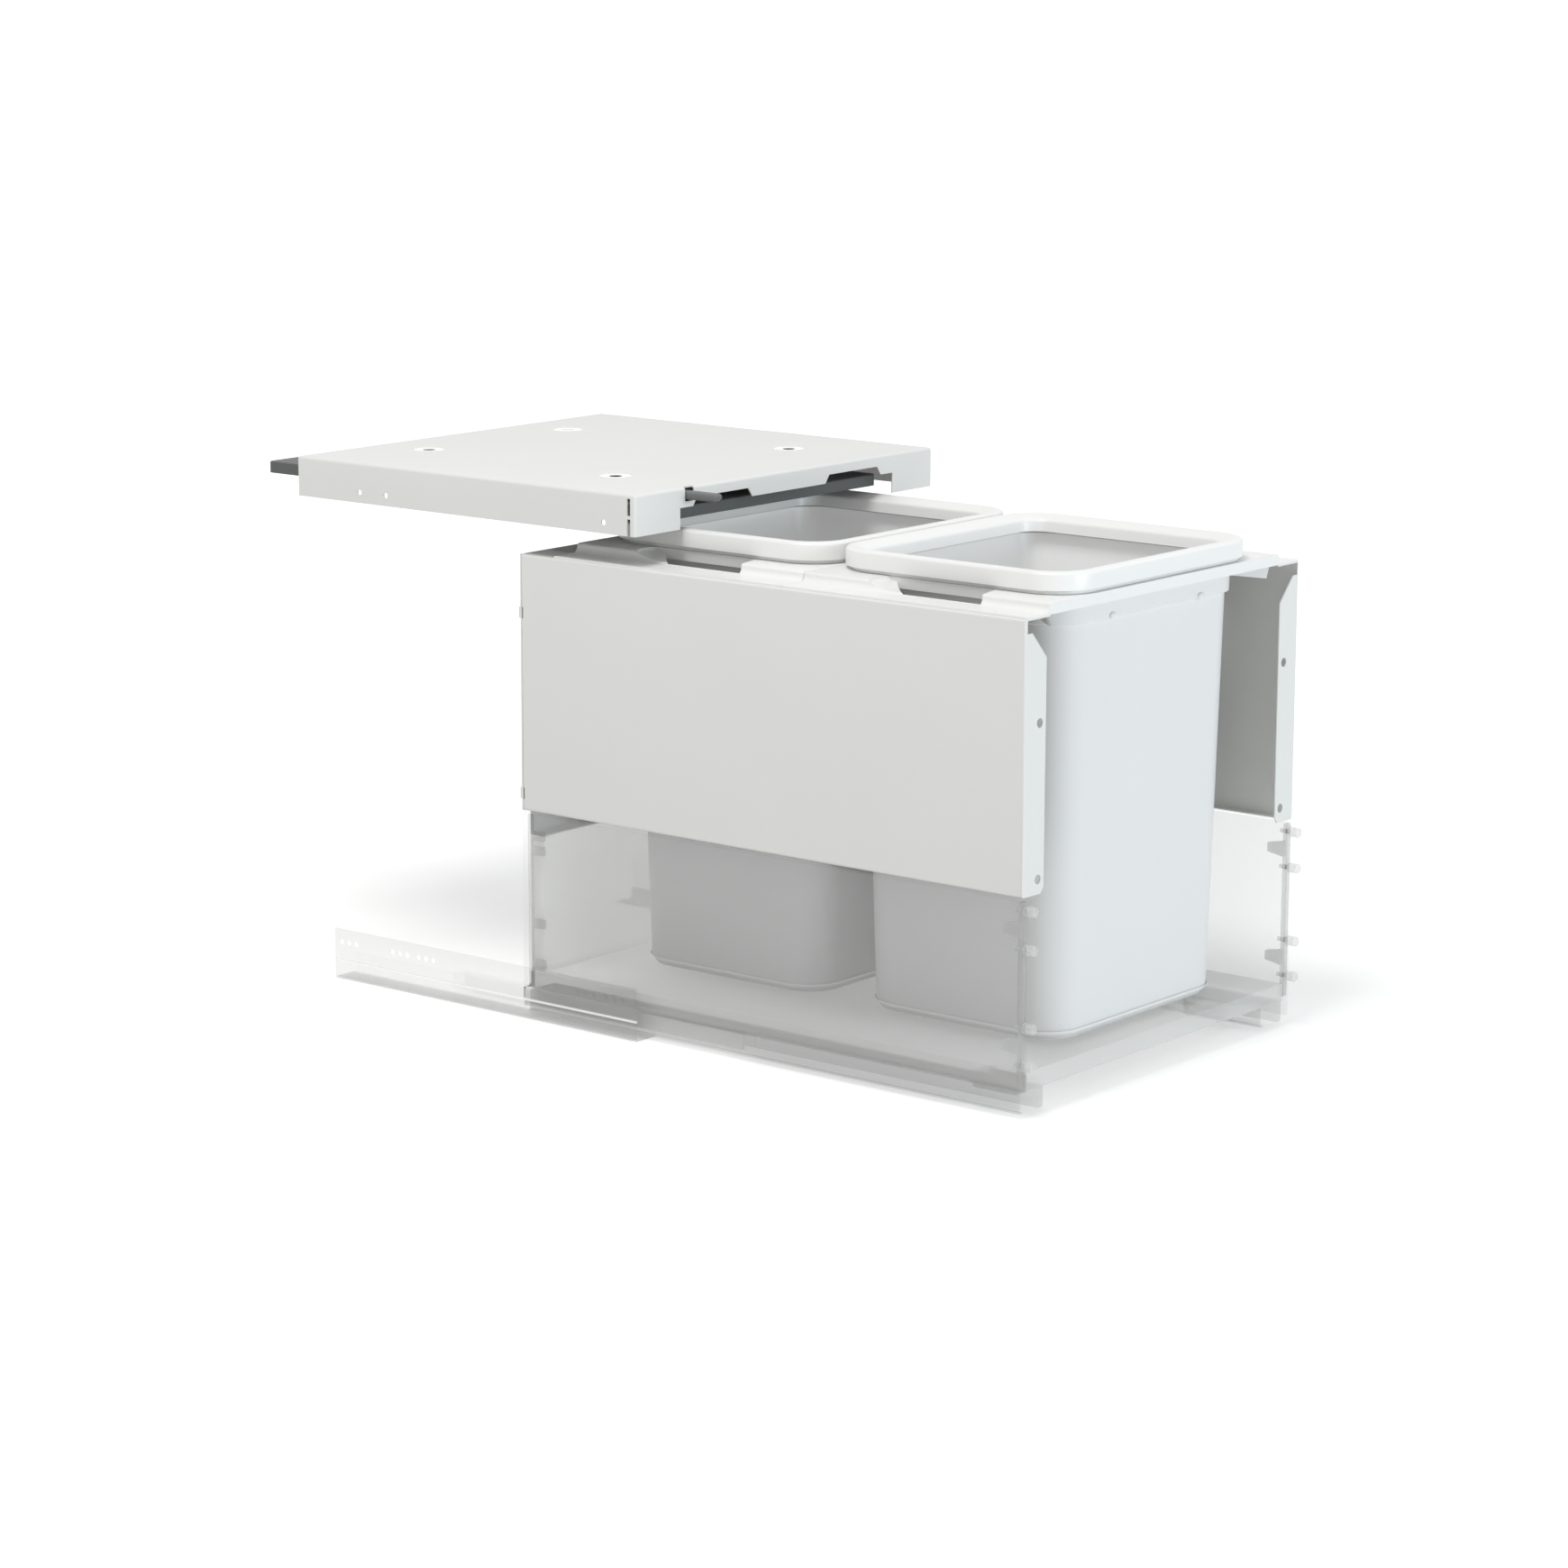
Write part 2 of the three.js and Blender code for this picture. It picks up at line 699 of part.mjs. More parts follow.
// Arm that the drawer's front pushes back: full height at the window, thinner where it clears the shaft.
function triggerArm() {
  const { centre, width, tipHeight, noseDrop, edgeRadius, reach, shoulder } = trigger;
  const tip = coverFront - reach;
  const step = coverFront + shoulder;
  const rear = drivePin[1] + rocker.pinRadius + trigger.rearMargin;
  const noseTop = triggerTop - noseDrop;
  const profile = polygon([
    [tip + 2, triggerTop - tipHeight], [coverFront, triggerBottom], [step, triggerBottom],
    [step + 3, shelfLevel], [rear, shelfLevel], [rear, triggerTop], [step + 3, triggerTop],
    [step, noseTop], [tip + 2, noseTop], [tip, noseTop - 2], [tip, triggerTop - tipHeight + 2],
  ]);
  const rounded = roundedRectangle(
    -centre - width / 2, width / 2 - centre, triggerBottom, triggerTop, edgeRadius);
  const nose = roundedRectangle(
    -centre - width / 2, width / 2 - centre, triggerBottom, noseTop, edgeRadius);
  const bar = common(
    prism(profile, 'x', -centre - width / 2, width / 2 - centre),
    join(prism(rounded, 'y', step, rear, 3), prism(nose, 'y', tip, step + 1, 3)));
  return join(
    bar,
    prism(disc(...drivePin, rocker.pinRadius), 'z', rockerBottom - 0.5, triggerTop - 1, 5));
}

// Hanger that holds the trigger arm up against the cover.
function triggerGuide() {
  const { centre, width, guideSheet, guideGap, guideFlange, guideStart } = trigger;
  const inner = width / 2 + guideGap;
  const top = coverUnderside - seat;
  const low = triggerBottom - guideGap;
  const path = [
    [-centre - inner - guideFlange, top], [-centre - inner, top], [-centre - inner, low],
    [-centre + inner, low], [-centre + inner, top], [-centre + inner + guideFlange, top],
  ];
  const rear = frontShaft - swing.shaftRadius - 2 * running;
  return prism(strip(bent(path, guideSheet + 0.3, 2), guideSheet), 'y', coverFront + guideStart, rear);
}

// Flat reversing lever, drawn along x and turned to the raised end of its stroke.
function rockerPlate() {
  const { longArm, shortArm, halfWidth, pinRadius, pivotRadius, slotPlay } = rocker;
  const stretch = 1 / Math.cos(halfTurn);
  const slot = (from, to, radius) => link(
    [from * (from < 0 ? stretch : 1), 0, radius], [to * (from < 0 ? 1 : stretch), 0, radius]);
  const outline = slot(-longArm, shortArm, halfWidth);
  outline.holes.push(
    slot(-longArm - running, -longArm + running, pinRadius + running),
    disc(0, 0, pivotRadius + running),
    slot(shortArm - running, shortArm + running, pinRadius + slotPlay));
  const plate = prism(outline, 'z', rockerBottom, rockerTop, 6);
  return plate.rotateZ(halfTurn).translate(rockerPivot[0], rockerPivot[1], 0);
}

// Headed stud that hangs from the cover and carries the rocker.
function rockerStud() {
  const { pivotRadius, shoulderReach, headReach, headHeight } = rocker;
  const [x, y] = rockerPivot;
  const top = coverUnderside - seat;
  const headTop = rockerBottom - running;
  return join(
    prism(disc(x, y, pivotRadius), 'z', headTop - headHeight / 2, top, 6),
    prism(disc(x, y, pivotRadius + shoulderReach), 'z', rockerTop + running, top, 6),
    prism(disc(x, y, pivotRadius + headReach), 'z', headTop - headHeight, headTop, 6));
}

// Post on the lid that the rocker's short arm drives, long enough for the lid's drop.
function drivenPost() {
  const { pinRadius, postFlange, postFlangeHeight } = rocker;
  const foot = lidTop + seat;
  return join(
    prism(disc(...lidPost, pinRadius), 'z', foot, rockerTop + lid.drop + 1, 6),
    prism(disc(...lidPost, pinRadius + postFlange), 'z', foot, foot + postFlangeHeight, 6));
}

place(lidParts, 'lid_trigger', triggerArm(), finish.darkPlastic());
place(fixedParts, 'trigger_guide', triggerGuide(), finish.steel());
place(lidParts, 'lid_rocker', rockerPlate(), finish.steel());
place(fixedParts, 'rocker_stud', rockerStud(), finish.steel());
place(lidParts, 'lid_post', drivenPost(), finish.steel());

// ---------------------------------------------------------------- runners

function cabinetRail() {
  const { height, length, sheet, creaseHeight, creaseInset, holePitch } = rail;
  const outer = cabinetHalf;
  const ribTop = floorBottom - seat - runner.sheet - running - runner.sheet - running;
  const path = bent([
    [outer, height], [outer, creaseHeight], [outer - creaseInset, 0], [ribAt, 0], [ribAt, ribTop],
  ], sheet + 0.4, 2);
  const web = prism(strip(path, sheet), 'y', railFront, railFront + length);
  const holes = rail.holeCentres.flatMap((centre) => [-1, 0, 1].map((step) => prism(
    disc(railFront + centre + step * holePitch, rail.holeHeight, rail.holeRadius),
    'x', outer - 3, outer + 1, 4)));
  return cut(web, ...holes);
}

// Inverted channel that rides over the cabinet rail's rib.
function middleRail() {
  const { sheet, middleHalf, middleLength, middleStart, middleLeg } = runner;
  const top = floorBottom - seat - sheet - running;
  const centre = ribAt + rail.sheet / 2;
  const path = bent([
    [centre - middleHalf, top - middleLeg], [centre - middleHalf, top],
    [centre + middleHalf, top], [centre + middleHalf, top - middleLeg],
  ], 1.6);
  return prism(strip(path, sheet), 'y', middleStart, middleStart + middleLength);
}

// Channel under the floor board, its lips turned in below the middle member.
function drawerRail() {
  const { legHeight, lip, sheet, setback, length } = runner;
  const top = floorBottom - seat;
  const low = top - legHeight;
  const path = bent([
    [runnerInner + lip, low], [runnerInner, low], [runnerInner, top],
    [runnerOuter, top], [runnerOuter, low], [runnerOuter - lip, low],
  ], 1.8);
  return prism(strip(path, sheet), 'y', setback, setback + length);
}

placePair(fixedParts, 'cabinet_rail', cabinetRail(), finish.ghostSteel);
placePair(drawerParts, 'middle_rail', middleRail(), finish.ghostSteel);
placePair(drawerParts, 'drawer_rail', drawerRail(), finish.ghostSteel);

// ---------------------------------------------------------------- latches under the drawer's front

const latchOuter = runnerInner - seat;
const latchInner = latchOuter - latch.width;
const latchTop = floorBottom - seat;
const leverTop = latchTop - latch.eyeDepth;
const leverPivot = [
  latchInner - latch.pivotRadius - latch.eyeWall - running,
  latch.start + latch.length - latch.pivotInset,
];

// Housing with two round dimples outside and an eye that carries the lever's pivot.
function latchHousing() {
  const { start, length, height, dimpleRadius, dimpleDepth, eyeGap, eyeWall, pivotRadius } = latch;
  const body = prism(roundedRectangle(
    start, start + length, latchTop - height, latchTop, latch.cornerRadius), 'x', latchInner, latchOuter, 3);
  const [frontInset, rearInset] = latch.dimpleInsets;
  const dimples = [start + frontInset, start + length - rearInset].map((y) => prism(
    disc(y, latchTop - height / 2, dimpleRadius), 'x', latchOuter - dimpleDepth, latchOuter + 1, 6));
  const eyeRadius = pivotRadius + eyeWall;
  const eye = prism(
    link([...leverPivot, eyeRadius], [latchInner + 3, leverPivot[1], eyeRadius]),
    'z', leverTop + eyeGap, latchTop, 5);
  const pivot = prism(disc(...leverPivot, pivotRadius), 'z', leverTop - latch.leverHeight, latchTop - 1, 5);
  return join(cut(body, ...dimples), eye, pivot);
}

// Finger lever that reaches forward beside the housing.
function latchLever() {
  const { leverLength, leverHeight, leverLean, tabReach, tabLead, pivotRadius, eyeWall } = latch;
  const [x, y] = leverPivot;
  const half = latch.leverThickness / 2;
  const tip = [x - leverLean, y - leverLength, half];
  const outline = link([x, y, pivotRadius + eyeWall], tip);
  outline.holes.push(disc(x, y, pivotRadius + running));
  const tab = link(tip, [x - tabReach, y - leverLength - tabLead, half]);
  return join(...[outline, tab].map((shape) => prism(shape, 'z', leverTop - leverHeight, leverTop, 5)));
}

placePair(drawerParts, 'lock_housing', latchHousing(), finish.ghostProfile);
placePair(drawerParts, 'lock_lever', latchLever(), finish.ghostProfile);

// ---------------------------------------------------------------- drawer box

// Hollow side profile with an inner foot and an outer skirt.
function drawerSide() {
  const { halfWidth, sideWall, topChamfer, footHeight, skirtDrop, skirtThickness, length } = drawer;
  const section = polygon([
    [footFace, floorTop + seat], [innerFace, floorTop + seat], [innerFace, floorBottom],
    [halfWidth - skirtThickness, floorBottom], [halfWidth - skirtThickness, floorBottom - skirtDrop],
    [halfWidth, floorBottom - skirtDrop], [halfWidth, sideTop - topChamfer],
    [halfWidth - topChamfer, sideTop], [innerFace + topChamfer, sideTop],
    [innerFace, sideTop - topChamfer], [innerFace, floorTop + footHeight],
    [footFace, floorTop + footHeight - topChamfer],
  ]);
  const hollow = [
    [innerFace + sideWall, hollowBottom], [halfWidth - sideWall, hollowBottom],
    [halfWidth - sideWall, hollowTop], [innerFace + sideWall, hollowTop],
  ];
  section.holes.push(polygon(hollow));
  return prism(section, 'y', 0, length);
}

placePair(drawerParts, 'drawer_side', drawerSide(), finish.ghostProfile);
place(drawerParts, 'drawer_floor', block(
  seat - innerFace, innerFace - seat, 0, drawer.length, floorBottom, floorTop), finish.ghostBoard());
place(drawerParts, 'drawer_back', block(
  seat - footFace, footFace - seat, drawer.length - drawer.boardThickness, drawer.length,
  floorTop + seat, floorTop + drawer.backHeight), finish.ghostBoard());

// ---------------------------------------------------------------- front and rear brackets, dowels

const hollowCentre = drawer.halfWidth - drawer.sideThickness / 2;
const dowelLevels = [floorBottom + dowel.lowest, sideTop - dowel.highest - dowel.pairSpacing].flatMap(
  (lower) => [lower, lower + dowel.pairSpacing]);

// Upright that holds the dowels, with a tapered catch between those of each pair.
function frontBracket() {
  const { thickness, spine, catchFront, catchRear, catchReach } = fixing;
  const low = hollowBottom + seat;
  const high = hollowTop - seat;
  const catches = [0, 2].flatMap((pair) => {
    const middle = (dowelLevels[pair] + dowelLevels[pair + 1]) / 2;
    return [
      [spine, middle - catchFront / 2], [catchReach, middle - catchRear / 2],
      [catchReach, middle + catchRear / 2], [spine, middle + catchFront / 2],
    ];
  });
  const outline = polygon([[seat, low], [spine, low], ...catches, [spine, high], [seat, high]]);
  const plate = prism(outline, 'x', hollowCentre - thickness / 2, hollowCentre + thickness / 2);
  const bores = dowelLevels.map((z) => prism(
    disc(hollowCentre, z, dowel.stemRadius + dowel.boreGap), 'y', -1, dowel.stemLength + 1, 5));
  return cut(plate, ...bores);
}

// Waisted dowel: a turned head in front of the profile and a stem in the bracket.
function frontDowel() {
  const { radius, length, stemRadius, stemLength, collarRadius } = dowel;
  const profile = [
    [0, -length], [radius - 0.8, -length], [radius, -length + 0.8], [radius, -length * 0.55],
    [collarRadius, -length * 0.5], [collarRadius, -length * 0.4], [radius, -length * 0.35], [radius, 0],
    [stemRadius, 0], [stemRadius, stemLength], [0, stemLength],
  ].map(([r, y]) => new THREE.Vector2(r, y - seat));
  return new THREE.LatheGeometry(profile, 12);
}

// Thin upright with four clips that reach forward.
function rearBracket() {
  const { thickness, rearInset, rearSpine, clipLength, clipHeight } = fixing;
  const rear = drawer.length - rearInset;
  const x0 = hollowCentre - thickness / 2;
  const x1 = hollowCentre + thickness / 2;
  const spine = block(x0, x1, rear - rearSpine, rear, hollowBottom + seat, hollowTop - seat);
  const clips = fixing.clipLevels.map((z) => block(
    x0, x1, rear - clipLength, rear - rearSpine / 2,
    floorBottom + z - clipHeight / 2, floorBottom + z + clipHeight / 2));
  return join(spine, ...clips);
}

placePair(drawerParts, 'front_bracket', frontBracket(), finish.ghostSteel);
placePair(drawerParts, 'rear_bracket', rearBracket(), finish.ghostSteel);
dowelLevels.forEach((z, i) => placePair(
  drawerParts, `front_dowel_${i + 1}`, frontDowel(), finish.ghostProfile, [hollowCentre, 0, z]));

// ---------------------------------------------------------------- steel side panels and rear panel

const panelRear = drawer.length - panel.sheet - seat;

function sidePanel() {
  const { sheet, topFlange, bottomFlange, chamferRun, chamferRise, cornerCut, bendRelief } = panel;
  const outer = drawer.halfWidth;
  const path = bent([
    [outer - bottomFlange, panelBottom], [outer, panelBottom],
    [outer, panelTop], [outer - topFlange, panelTop],
  ], panel.bendRadius).reverse();
  const channel = prism(strip(path, sheet), 'y', 0, panelRear);
  const flangeTop = panelTop - panel.frontGap;
  const flangeInner = outer - panel.frontFlange;
  const flange = polygon([
    [outer, panelBottom + bendRelief], [outer, flangeTop], [flangeInner + chamferRun, flangeTop],
    [flangeInner, flangeTop - chamferRise], [flangeInner, panelBottom + cornerCut],
    [flangeInner + cornerCut, panelBottom], [outer - bendRelief, panelBottom],
  ]);
  flange.holes.push(...panel.holeHeights.map((z) => disc(
    outer - panel.holeInset, panelBottom + z, panel.holeRadius)));
  const hooks = panel.hookLevels.map((z) => block(
    outer - sheet, outer, panelRear - 1, drawer.length + panel.hookProud,
    panelBottom + z - panel.hookHeight / 2, panelBottom + z + panel.hookHeight / 2));
  return join(channel, prism(flange, 'y', 0, sheet), ...hooks);
}

// Sheet across the back, hooked onto the side panels, standing on the back board.
function rearPanel() {
  const { sheet, hookHeight, hookLevels, slotPlay } = panel;
  const bottom = floorTop + drawer.backHeight + seat;
  const inner = footFace - seat;
  const upper = sideTop + seat;
  const outer = drawer.halfWidth;
  const outline = polygon([
    [-inner, bottom], [inner, bottom], [inner, upper], [outer, upper],
    [outer, panelTop], [-outer, panelTop], [-outer, upper], [-inner, upper],
  ]);
  const face = prism(outline, 'y', drawer.length - sheet, drawer.length);
  const foot = block(-inner, inner, drawer.length - drawer.boardThickness, drawer.length - sheet / 2,
    bottom, bottom + sheet);
  const slotHalf = sheet / 2 + slotPlay;
  const slots = hookLevels.flatMap((z) => [-1, 1].map((side) => block(
    side * (outer - sheet / 2) - slotHalf, side * (outer - sheet / 2) + slotHalf,
    drawer.length - sheet - 1, drawer.length + 1,
    panelBottom + z - hookHeight / 2 - seat, panelBottom + z + hookHeight / 2 + seat)));
  return cut(join(face, foot), ...slots);
}

placePair(drawerParts, 'side_panel', sidePanel(), finish.paintedSteel);
place(drawerParts, 'rear_panel', rearPanel(), finish.paintedSteel());

// ---------------------------------------------------------------- bin frames

// Finger scoop on the right of a frame: a way through, and a dish that rises to the plateau behind it.
function fingerScoop() {
  const { front, frontSkew, rear, rearSkew, dishLength, dishDepth, dishInset } = scoop;
  const outer = halfPlateau + scoop.overlap;
  const through = prism(polygon([
    [scoopInner, front + frontSkew], [outer, front], [outer, rear], [scoopInner, rear + rearSkew],
  ]), 'z', brimBottom - 1, plateauTop + 1);
  const bowl = new THREE.SphereGeometry(1, 24, 16).rotateX(Math.PI / 2)
    .scale(outer - scoopInner, dishLength, dishDepth)
    .translate((outer + scoopInner) / 2 - dishInset, rear, plateauTop);
  const reach = block(
    scoopInner, outer, rear - dishLength / 2, rear + dishLength,
    brimBottom + scoop.dishFloor, plateauTop + 1);
  return join(through, common(bowl, reach));
}

function binFrame() {
  const { brim, wall, edgeRadius, cove } = carrier;
  const brimTop = brimBottom + brim;
  const edgeFace = edgeRadius * 0.3;
  const sweep = [0, 0.25, 0.5, 0.75, 1].map((share) => share * Math.PI / 2);
  const half = [
    [halfPlateau - edgeRadius, plateauTop], [halfPlateau - edgeFace, plateauTop - edgeFace],
    [halfPlateau, plateauTop - edgeRadius],
    ...sweep.map((angle) => [
      halfPlateau + cove * (1 - Math.cos(angle)), brimTop + cove * (1 - Math.sin(angle)),
    ]),
    [halfBrim, brimTop], [halfBrim, brimBottom],
  ];
  const left = half.map(([x, z]) => [-x, z]).reverse();
  const hat = prism(polygon([...left, ...half]), 'y', 0, frameLength);
  const hollow = block(
    wall - halfPlateau, halfPlateau - wall, wall, frameLength - wall, brimBottom - 1, plateauTop - wall);
  const backing = block(
    openingHalf - 1, halfPlateau - 1, scoop.rear - scoop.backing,
    scoop.rear + scoop.dishLength + scoop.backing, brimBottom, plateauTop - wall / 2);
  const opening = roundedRectangle(
    -openingHalf, openingHalf, openingFront, openingRear, openingRadius);
  const collar = roundedRectangle(
    -scoopInner, scoopInner, openingFront - wall, openingRear + wall, openingRadius + wall);
  const shell = join(
    cut(hat, hollow), prism(collar, 'z', brimBottom, plateauTop - 1, 6), backing, mirrored(backing));
  const scoops = [fingerScoop(), mirrored(fingerScoop())];
  return join(
    cut(shell, prism(opening, 'z', brimBottom - 5, plateauTop + 1, 6), ...scoops),
    frontGusset(), mirrored(frontGusset()));
}

// Diagonal web under a front corner, from the frame's front end back to the collar round the bin's opening.
function frontGusset() {
  const { wall, gussetDepth, gussetInset, gussetSlant } = carrier;
  const outer = halfPlateau - 2;
  const inner = scoopInner - 0.5;
  const rear = gussetInset + outer - inner;
  const top = plateauTop - wall / 2;
  const low = top - wall - gussetDepth;
  const web = prism(polygon([
    [outer, gussetInset], [outer, gussetInset + wall], [inner, rear + wall], [inner, rear],
  ]), 'z', low, top);
  const outline = prism(polygon([
    [inner - 1, low + wall], [outer - gussetSlant, low], [outer + 1, top + 1], [inner - 1, top + 1],
  ]), 'y', 0, rear + 2 * wall);
  return common(web, outline);
}

['front', 'rear'].forEach((row, i) => place(
  drawerParts, `frame_${row}`, binFrame(), finish.whitePlastic(), [0, framePitch * i, 0]));

// ---------------------------------------------------------------- bins and bag rings

// Tapered bin that hangs by its rim: outer wall, stepped collar, rim, then the inner wall and floor.
function wasteBin() {
  const { wall, collar, cornerRadius, rimReach, baseRadius, collarHeight, nubWidth } = bin;
  const base = floorTop + bin.floorClearance;
  const at = (z, offset) => {
    const t = THREE.MathUtils.clamp((z - base) / (rimBottom - base), 0, 1);
    return level(
      THREE.MathUtils.lerp(bin.halfBase, bin.halfMouth, t) + offset,
      THREE.MathUtils.lerp(bin.baseFront, bin.mouthFront, t) - offset,
      frameLength - THREE.MathUtils.lerp(bin.baseRear, bin.mouthRear, t) + offset,
      cornerRadius + offset, z);
  };
  const step = rimBottom - collarHeight;
  const body = loft([
    at(base, -baseRadius), at(base + baseRadius * 0.3, -baseRadius * 0.3), at(base + baseRadius, 0),
    at(step - 0.8, 0), at(step, collar), at(rimBottom, collar),
    at(rimBottom, collar + rimReach), at(rimTop - 1, collar + rimReach), at(rimTop, collar + rimReach - 1),
    at(rimTop, collar - wall), at(step, collar - wall), at(step - wall, -wall),
    at(base + baseRadius, -wall), at(base + wall, -wall - baseRadius * 0.7),
  ]);
  const nubBottom = step + bin.nubLift;
  const nubs = [-1, 1].map((side) => block(
    (side * bin.nubSpacing - nubWidth) / 2, (side * bin.nubSpacing + nubWidth) / 2,
    bin.mouthFront - collar - bin.nubProud, bin.mouthFront, nubBottom, nubBottom + bin.nubHeight));
  return join(body, ...nubs);
}

// Ring that clamps the bag over the bin's rim: crowned, falling towards the bin, hollow underneath.
function bagRing() {
  const { height, shoulder, fall, skin, innerLift } = ring;
  const at = (across, z) => level(
    THREE.MathUtils.lerp(ring.halfWidth, ring.innerHalf, across),
    THREE.MathUtils.lerp(ring.front, ring.innerFront, across),
    frameLength - THREE.MathUtils.lerp(ring.rear, ring.innerRear, across),
    THREE.MathUtils.lerp(ring.cornerRadius, ring.innerRadius, across), ringBottom + z);
  const width = ring.halfWidth - ring.innerHalf;
  const wall = skin / width;
  const foot = (ring.halfWidth - bin.halfMouth - bin.collar - bin.rimReach + 1.2) / width;
  const under = height - shoulder - skin;
  return loft([
    at(0, 0), at(0, height - shoulder), at(0.06, height - shoulder * 0.45),
    at(0.16, height - shoulder * 0.12), at(0.3, height), at(0.42, height - fall * 0.12),
    at(0.86, height - fall * 0.9), at(0.93, height - fall - 0.4), at(0.96, height - fall - 2),
    at(1, innerLift), at(1 - wall, innerLift), at(0.96 - wall, under - fall),
    at(foot + wall, under), at(foot + wall, 0), at(foot, 0), at(foot, under), at(wall, under), at(wall, 0),
  ], true);
}

['front', 'rear'].forEach((row, i) => {
  place(drawerParts, `bin_${row}`, wasteBin(), finish.binPlastic(), [0, framePitch * i, 0]);
  place(drawerParts, `ring_${row}`, bagRing(), finish.whitePlastic(), [0, framePitch * i, 0]);
});

// The origin is the middle of the footprint, at the rails' underside.
const frontmost = -dowel.length - seat;
const rearmost = lidFront + lid.length;
cabinet.position.y = -(frontmost + rearmost) / 2;

export default cabinet;
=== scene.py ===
import json
import math

import bmesh
import bpy
from mathutils import Matrix, Vector

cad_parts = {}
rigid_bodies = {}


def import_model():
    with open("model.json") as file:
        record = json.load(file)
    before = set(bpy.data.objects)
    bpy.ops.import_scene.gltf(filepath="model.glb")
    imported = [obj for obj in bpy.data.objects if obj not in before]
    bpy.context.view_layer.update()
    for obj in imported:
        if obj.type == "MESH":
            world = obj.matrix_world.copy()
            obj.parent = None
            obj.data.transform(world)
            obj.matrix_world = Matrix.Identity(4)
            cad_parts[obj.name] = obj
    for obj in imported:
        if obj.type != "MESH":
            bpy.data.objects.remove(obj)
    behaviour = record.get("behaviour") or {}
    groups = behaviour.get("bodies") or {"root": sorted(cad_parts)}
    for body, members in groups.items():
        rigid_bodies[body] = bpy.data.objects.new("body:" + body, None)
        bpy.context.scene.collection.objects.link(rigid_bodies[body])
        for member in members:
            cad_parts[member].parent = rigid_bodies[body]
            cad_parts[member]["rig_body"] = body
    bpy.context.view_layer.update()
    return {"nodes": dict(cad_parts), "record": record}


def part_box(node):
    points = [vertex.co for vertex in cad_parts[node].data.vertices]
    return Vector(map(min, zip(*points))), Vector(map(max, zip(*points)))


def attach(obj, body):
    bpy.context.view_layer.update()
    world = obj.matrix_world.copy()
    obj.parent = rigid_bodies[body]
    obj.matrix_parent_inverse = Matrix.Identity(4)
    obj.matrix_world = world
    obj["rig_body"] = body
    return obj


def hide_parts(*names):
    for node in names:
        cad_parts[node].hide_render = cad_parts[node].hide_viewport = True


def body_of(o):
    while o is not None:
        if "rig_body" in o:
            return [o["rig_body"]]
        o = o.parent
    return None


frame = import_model()
print("frame loaded:", len(frame["nodes"]), "nodes")
mm = 0.001
white = (1, 1, 1, 1)
slotOf = {part["node"]: part["material_slot"] for part in frame["record"]["subparts"]}

# camera at the photograph's viewpoint, lights and floor

camera = {
    "place": (-3.0657, -2.5057, 1.0060),
    "azimuth": -51.18,
    "elevation": 11.64,
    "roll": 0.16,
    "lens": 102.9,
    "sensorWidth": 36,
    "clipEnd": 60,
}


def addCamera():
    turn, tilt, roll = (math.radians(camera[key]) for key in ("azimuth", "elevation", "roll"))
    back = Vector((
        math.sin(turn) * math.cos(tilt), -math.cos(turn) * math.cos(tilt), math.sin(tilt)))
    levelRight = Vector((math.cos(turn), math.sin(turn), 0))
    levelUp = back.cross(levelRight)
    right = levelRight * math.cos(roll) + levelUp * math.sin(roll)
    up = levelUp * math.cos(roll) - levelRight * math.sin(roll)
    data = bpy.data.cameras.new("photoView")
    data.lens = camera["lens"]
    data.sensor_width = camera["sensorWidth"]
    data.clip_end = camera["clipEnd"]
    viewer = bpy.data.objects.new("photoView", data)
    bpy.context.scene.collection.objects.link(viewer)
    viewer.matrix_world = Matrix((
        (right.x, up.x, back.x, camera["place"][0]),
        (right.y, up.y, back.y, camera["place"][1]),
        (right.z, up.z, back.z, camera["place"][2]),
        (0, 0, 0, 1),
    ))
    bpy.context.scene.camera = viewer


lighting = {
    "worldStrength": 0.64,
    "lamps": {
        "keyLight": {
            "place": (-1.7, -0.3, 3.8), "size": 1.5, "power": 71.0, "color": (1.0, 1.0, 0.985)},
        "frontLight": {
            "place": (0.3, -4.0, 0.9), "size": 1.0, "power": 45.0, "color": (0.80, 0.92, 1.0)},
    },
    "aim": (0, 0, 0.25),
    "backdropStrength": 1.0,
}


def addLamp(name, settings):
    bpy.ops.object.light_add(type="AREA", location=settings["place"])
    lamp = bpy.context.object
    lamp.name = name
    lamp.data.shape = "DISK"
    lamp.data.size = settings["size"]
    lamp.data.energy = settings["power"]
    lamp.data.color = settings["color"]
    aim = Vector(lighting["aim"]) - Vector(settings["place"])
    lamp.rotation_euler = aim.to_track_quat("-Z", "Y").to_euler()


def dial(node, values):
    for socket, value in values.items():
        node.inputs[socket].default_value = value


def seenDirectly(nodes, links):
    # 1 for the rays that show the background itself: camera, mirror and see-through rays
    path = nodes.new("ShaderNodeLightPath")
    first = nodes.new("ShaderNodeMath")
    second = nodes.new("ShaderNodeMath")
    first.operation = second.operation = "MAXIMUM"
    links.new(path.outputs["Is Camera Ray"], first.inputs[0])
    links.new(path.outputs["Is Glossy Ray"], first.inputs[1])
    links.new(first.outputs[0], second.inputs[0])
    links.new(path.outputs["Is Transmission Ray"], second.inputs[1])
    return second.outputs[0]


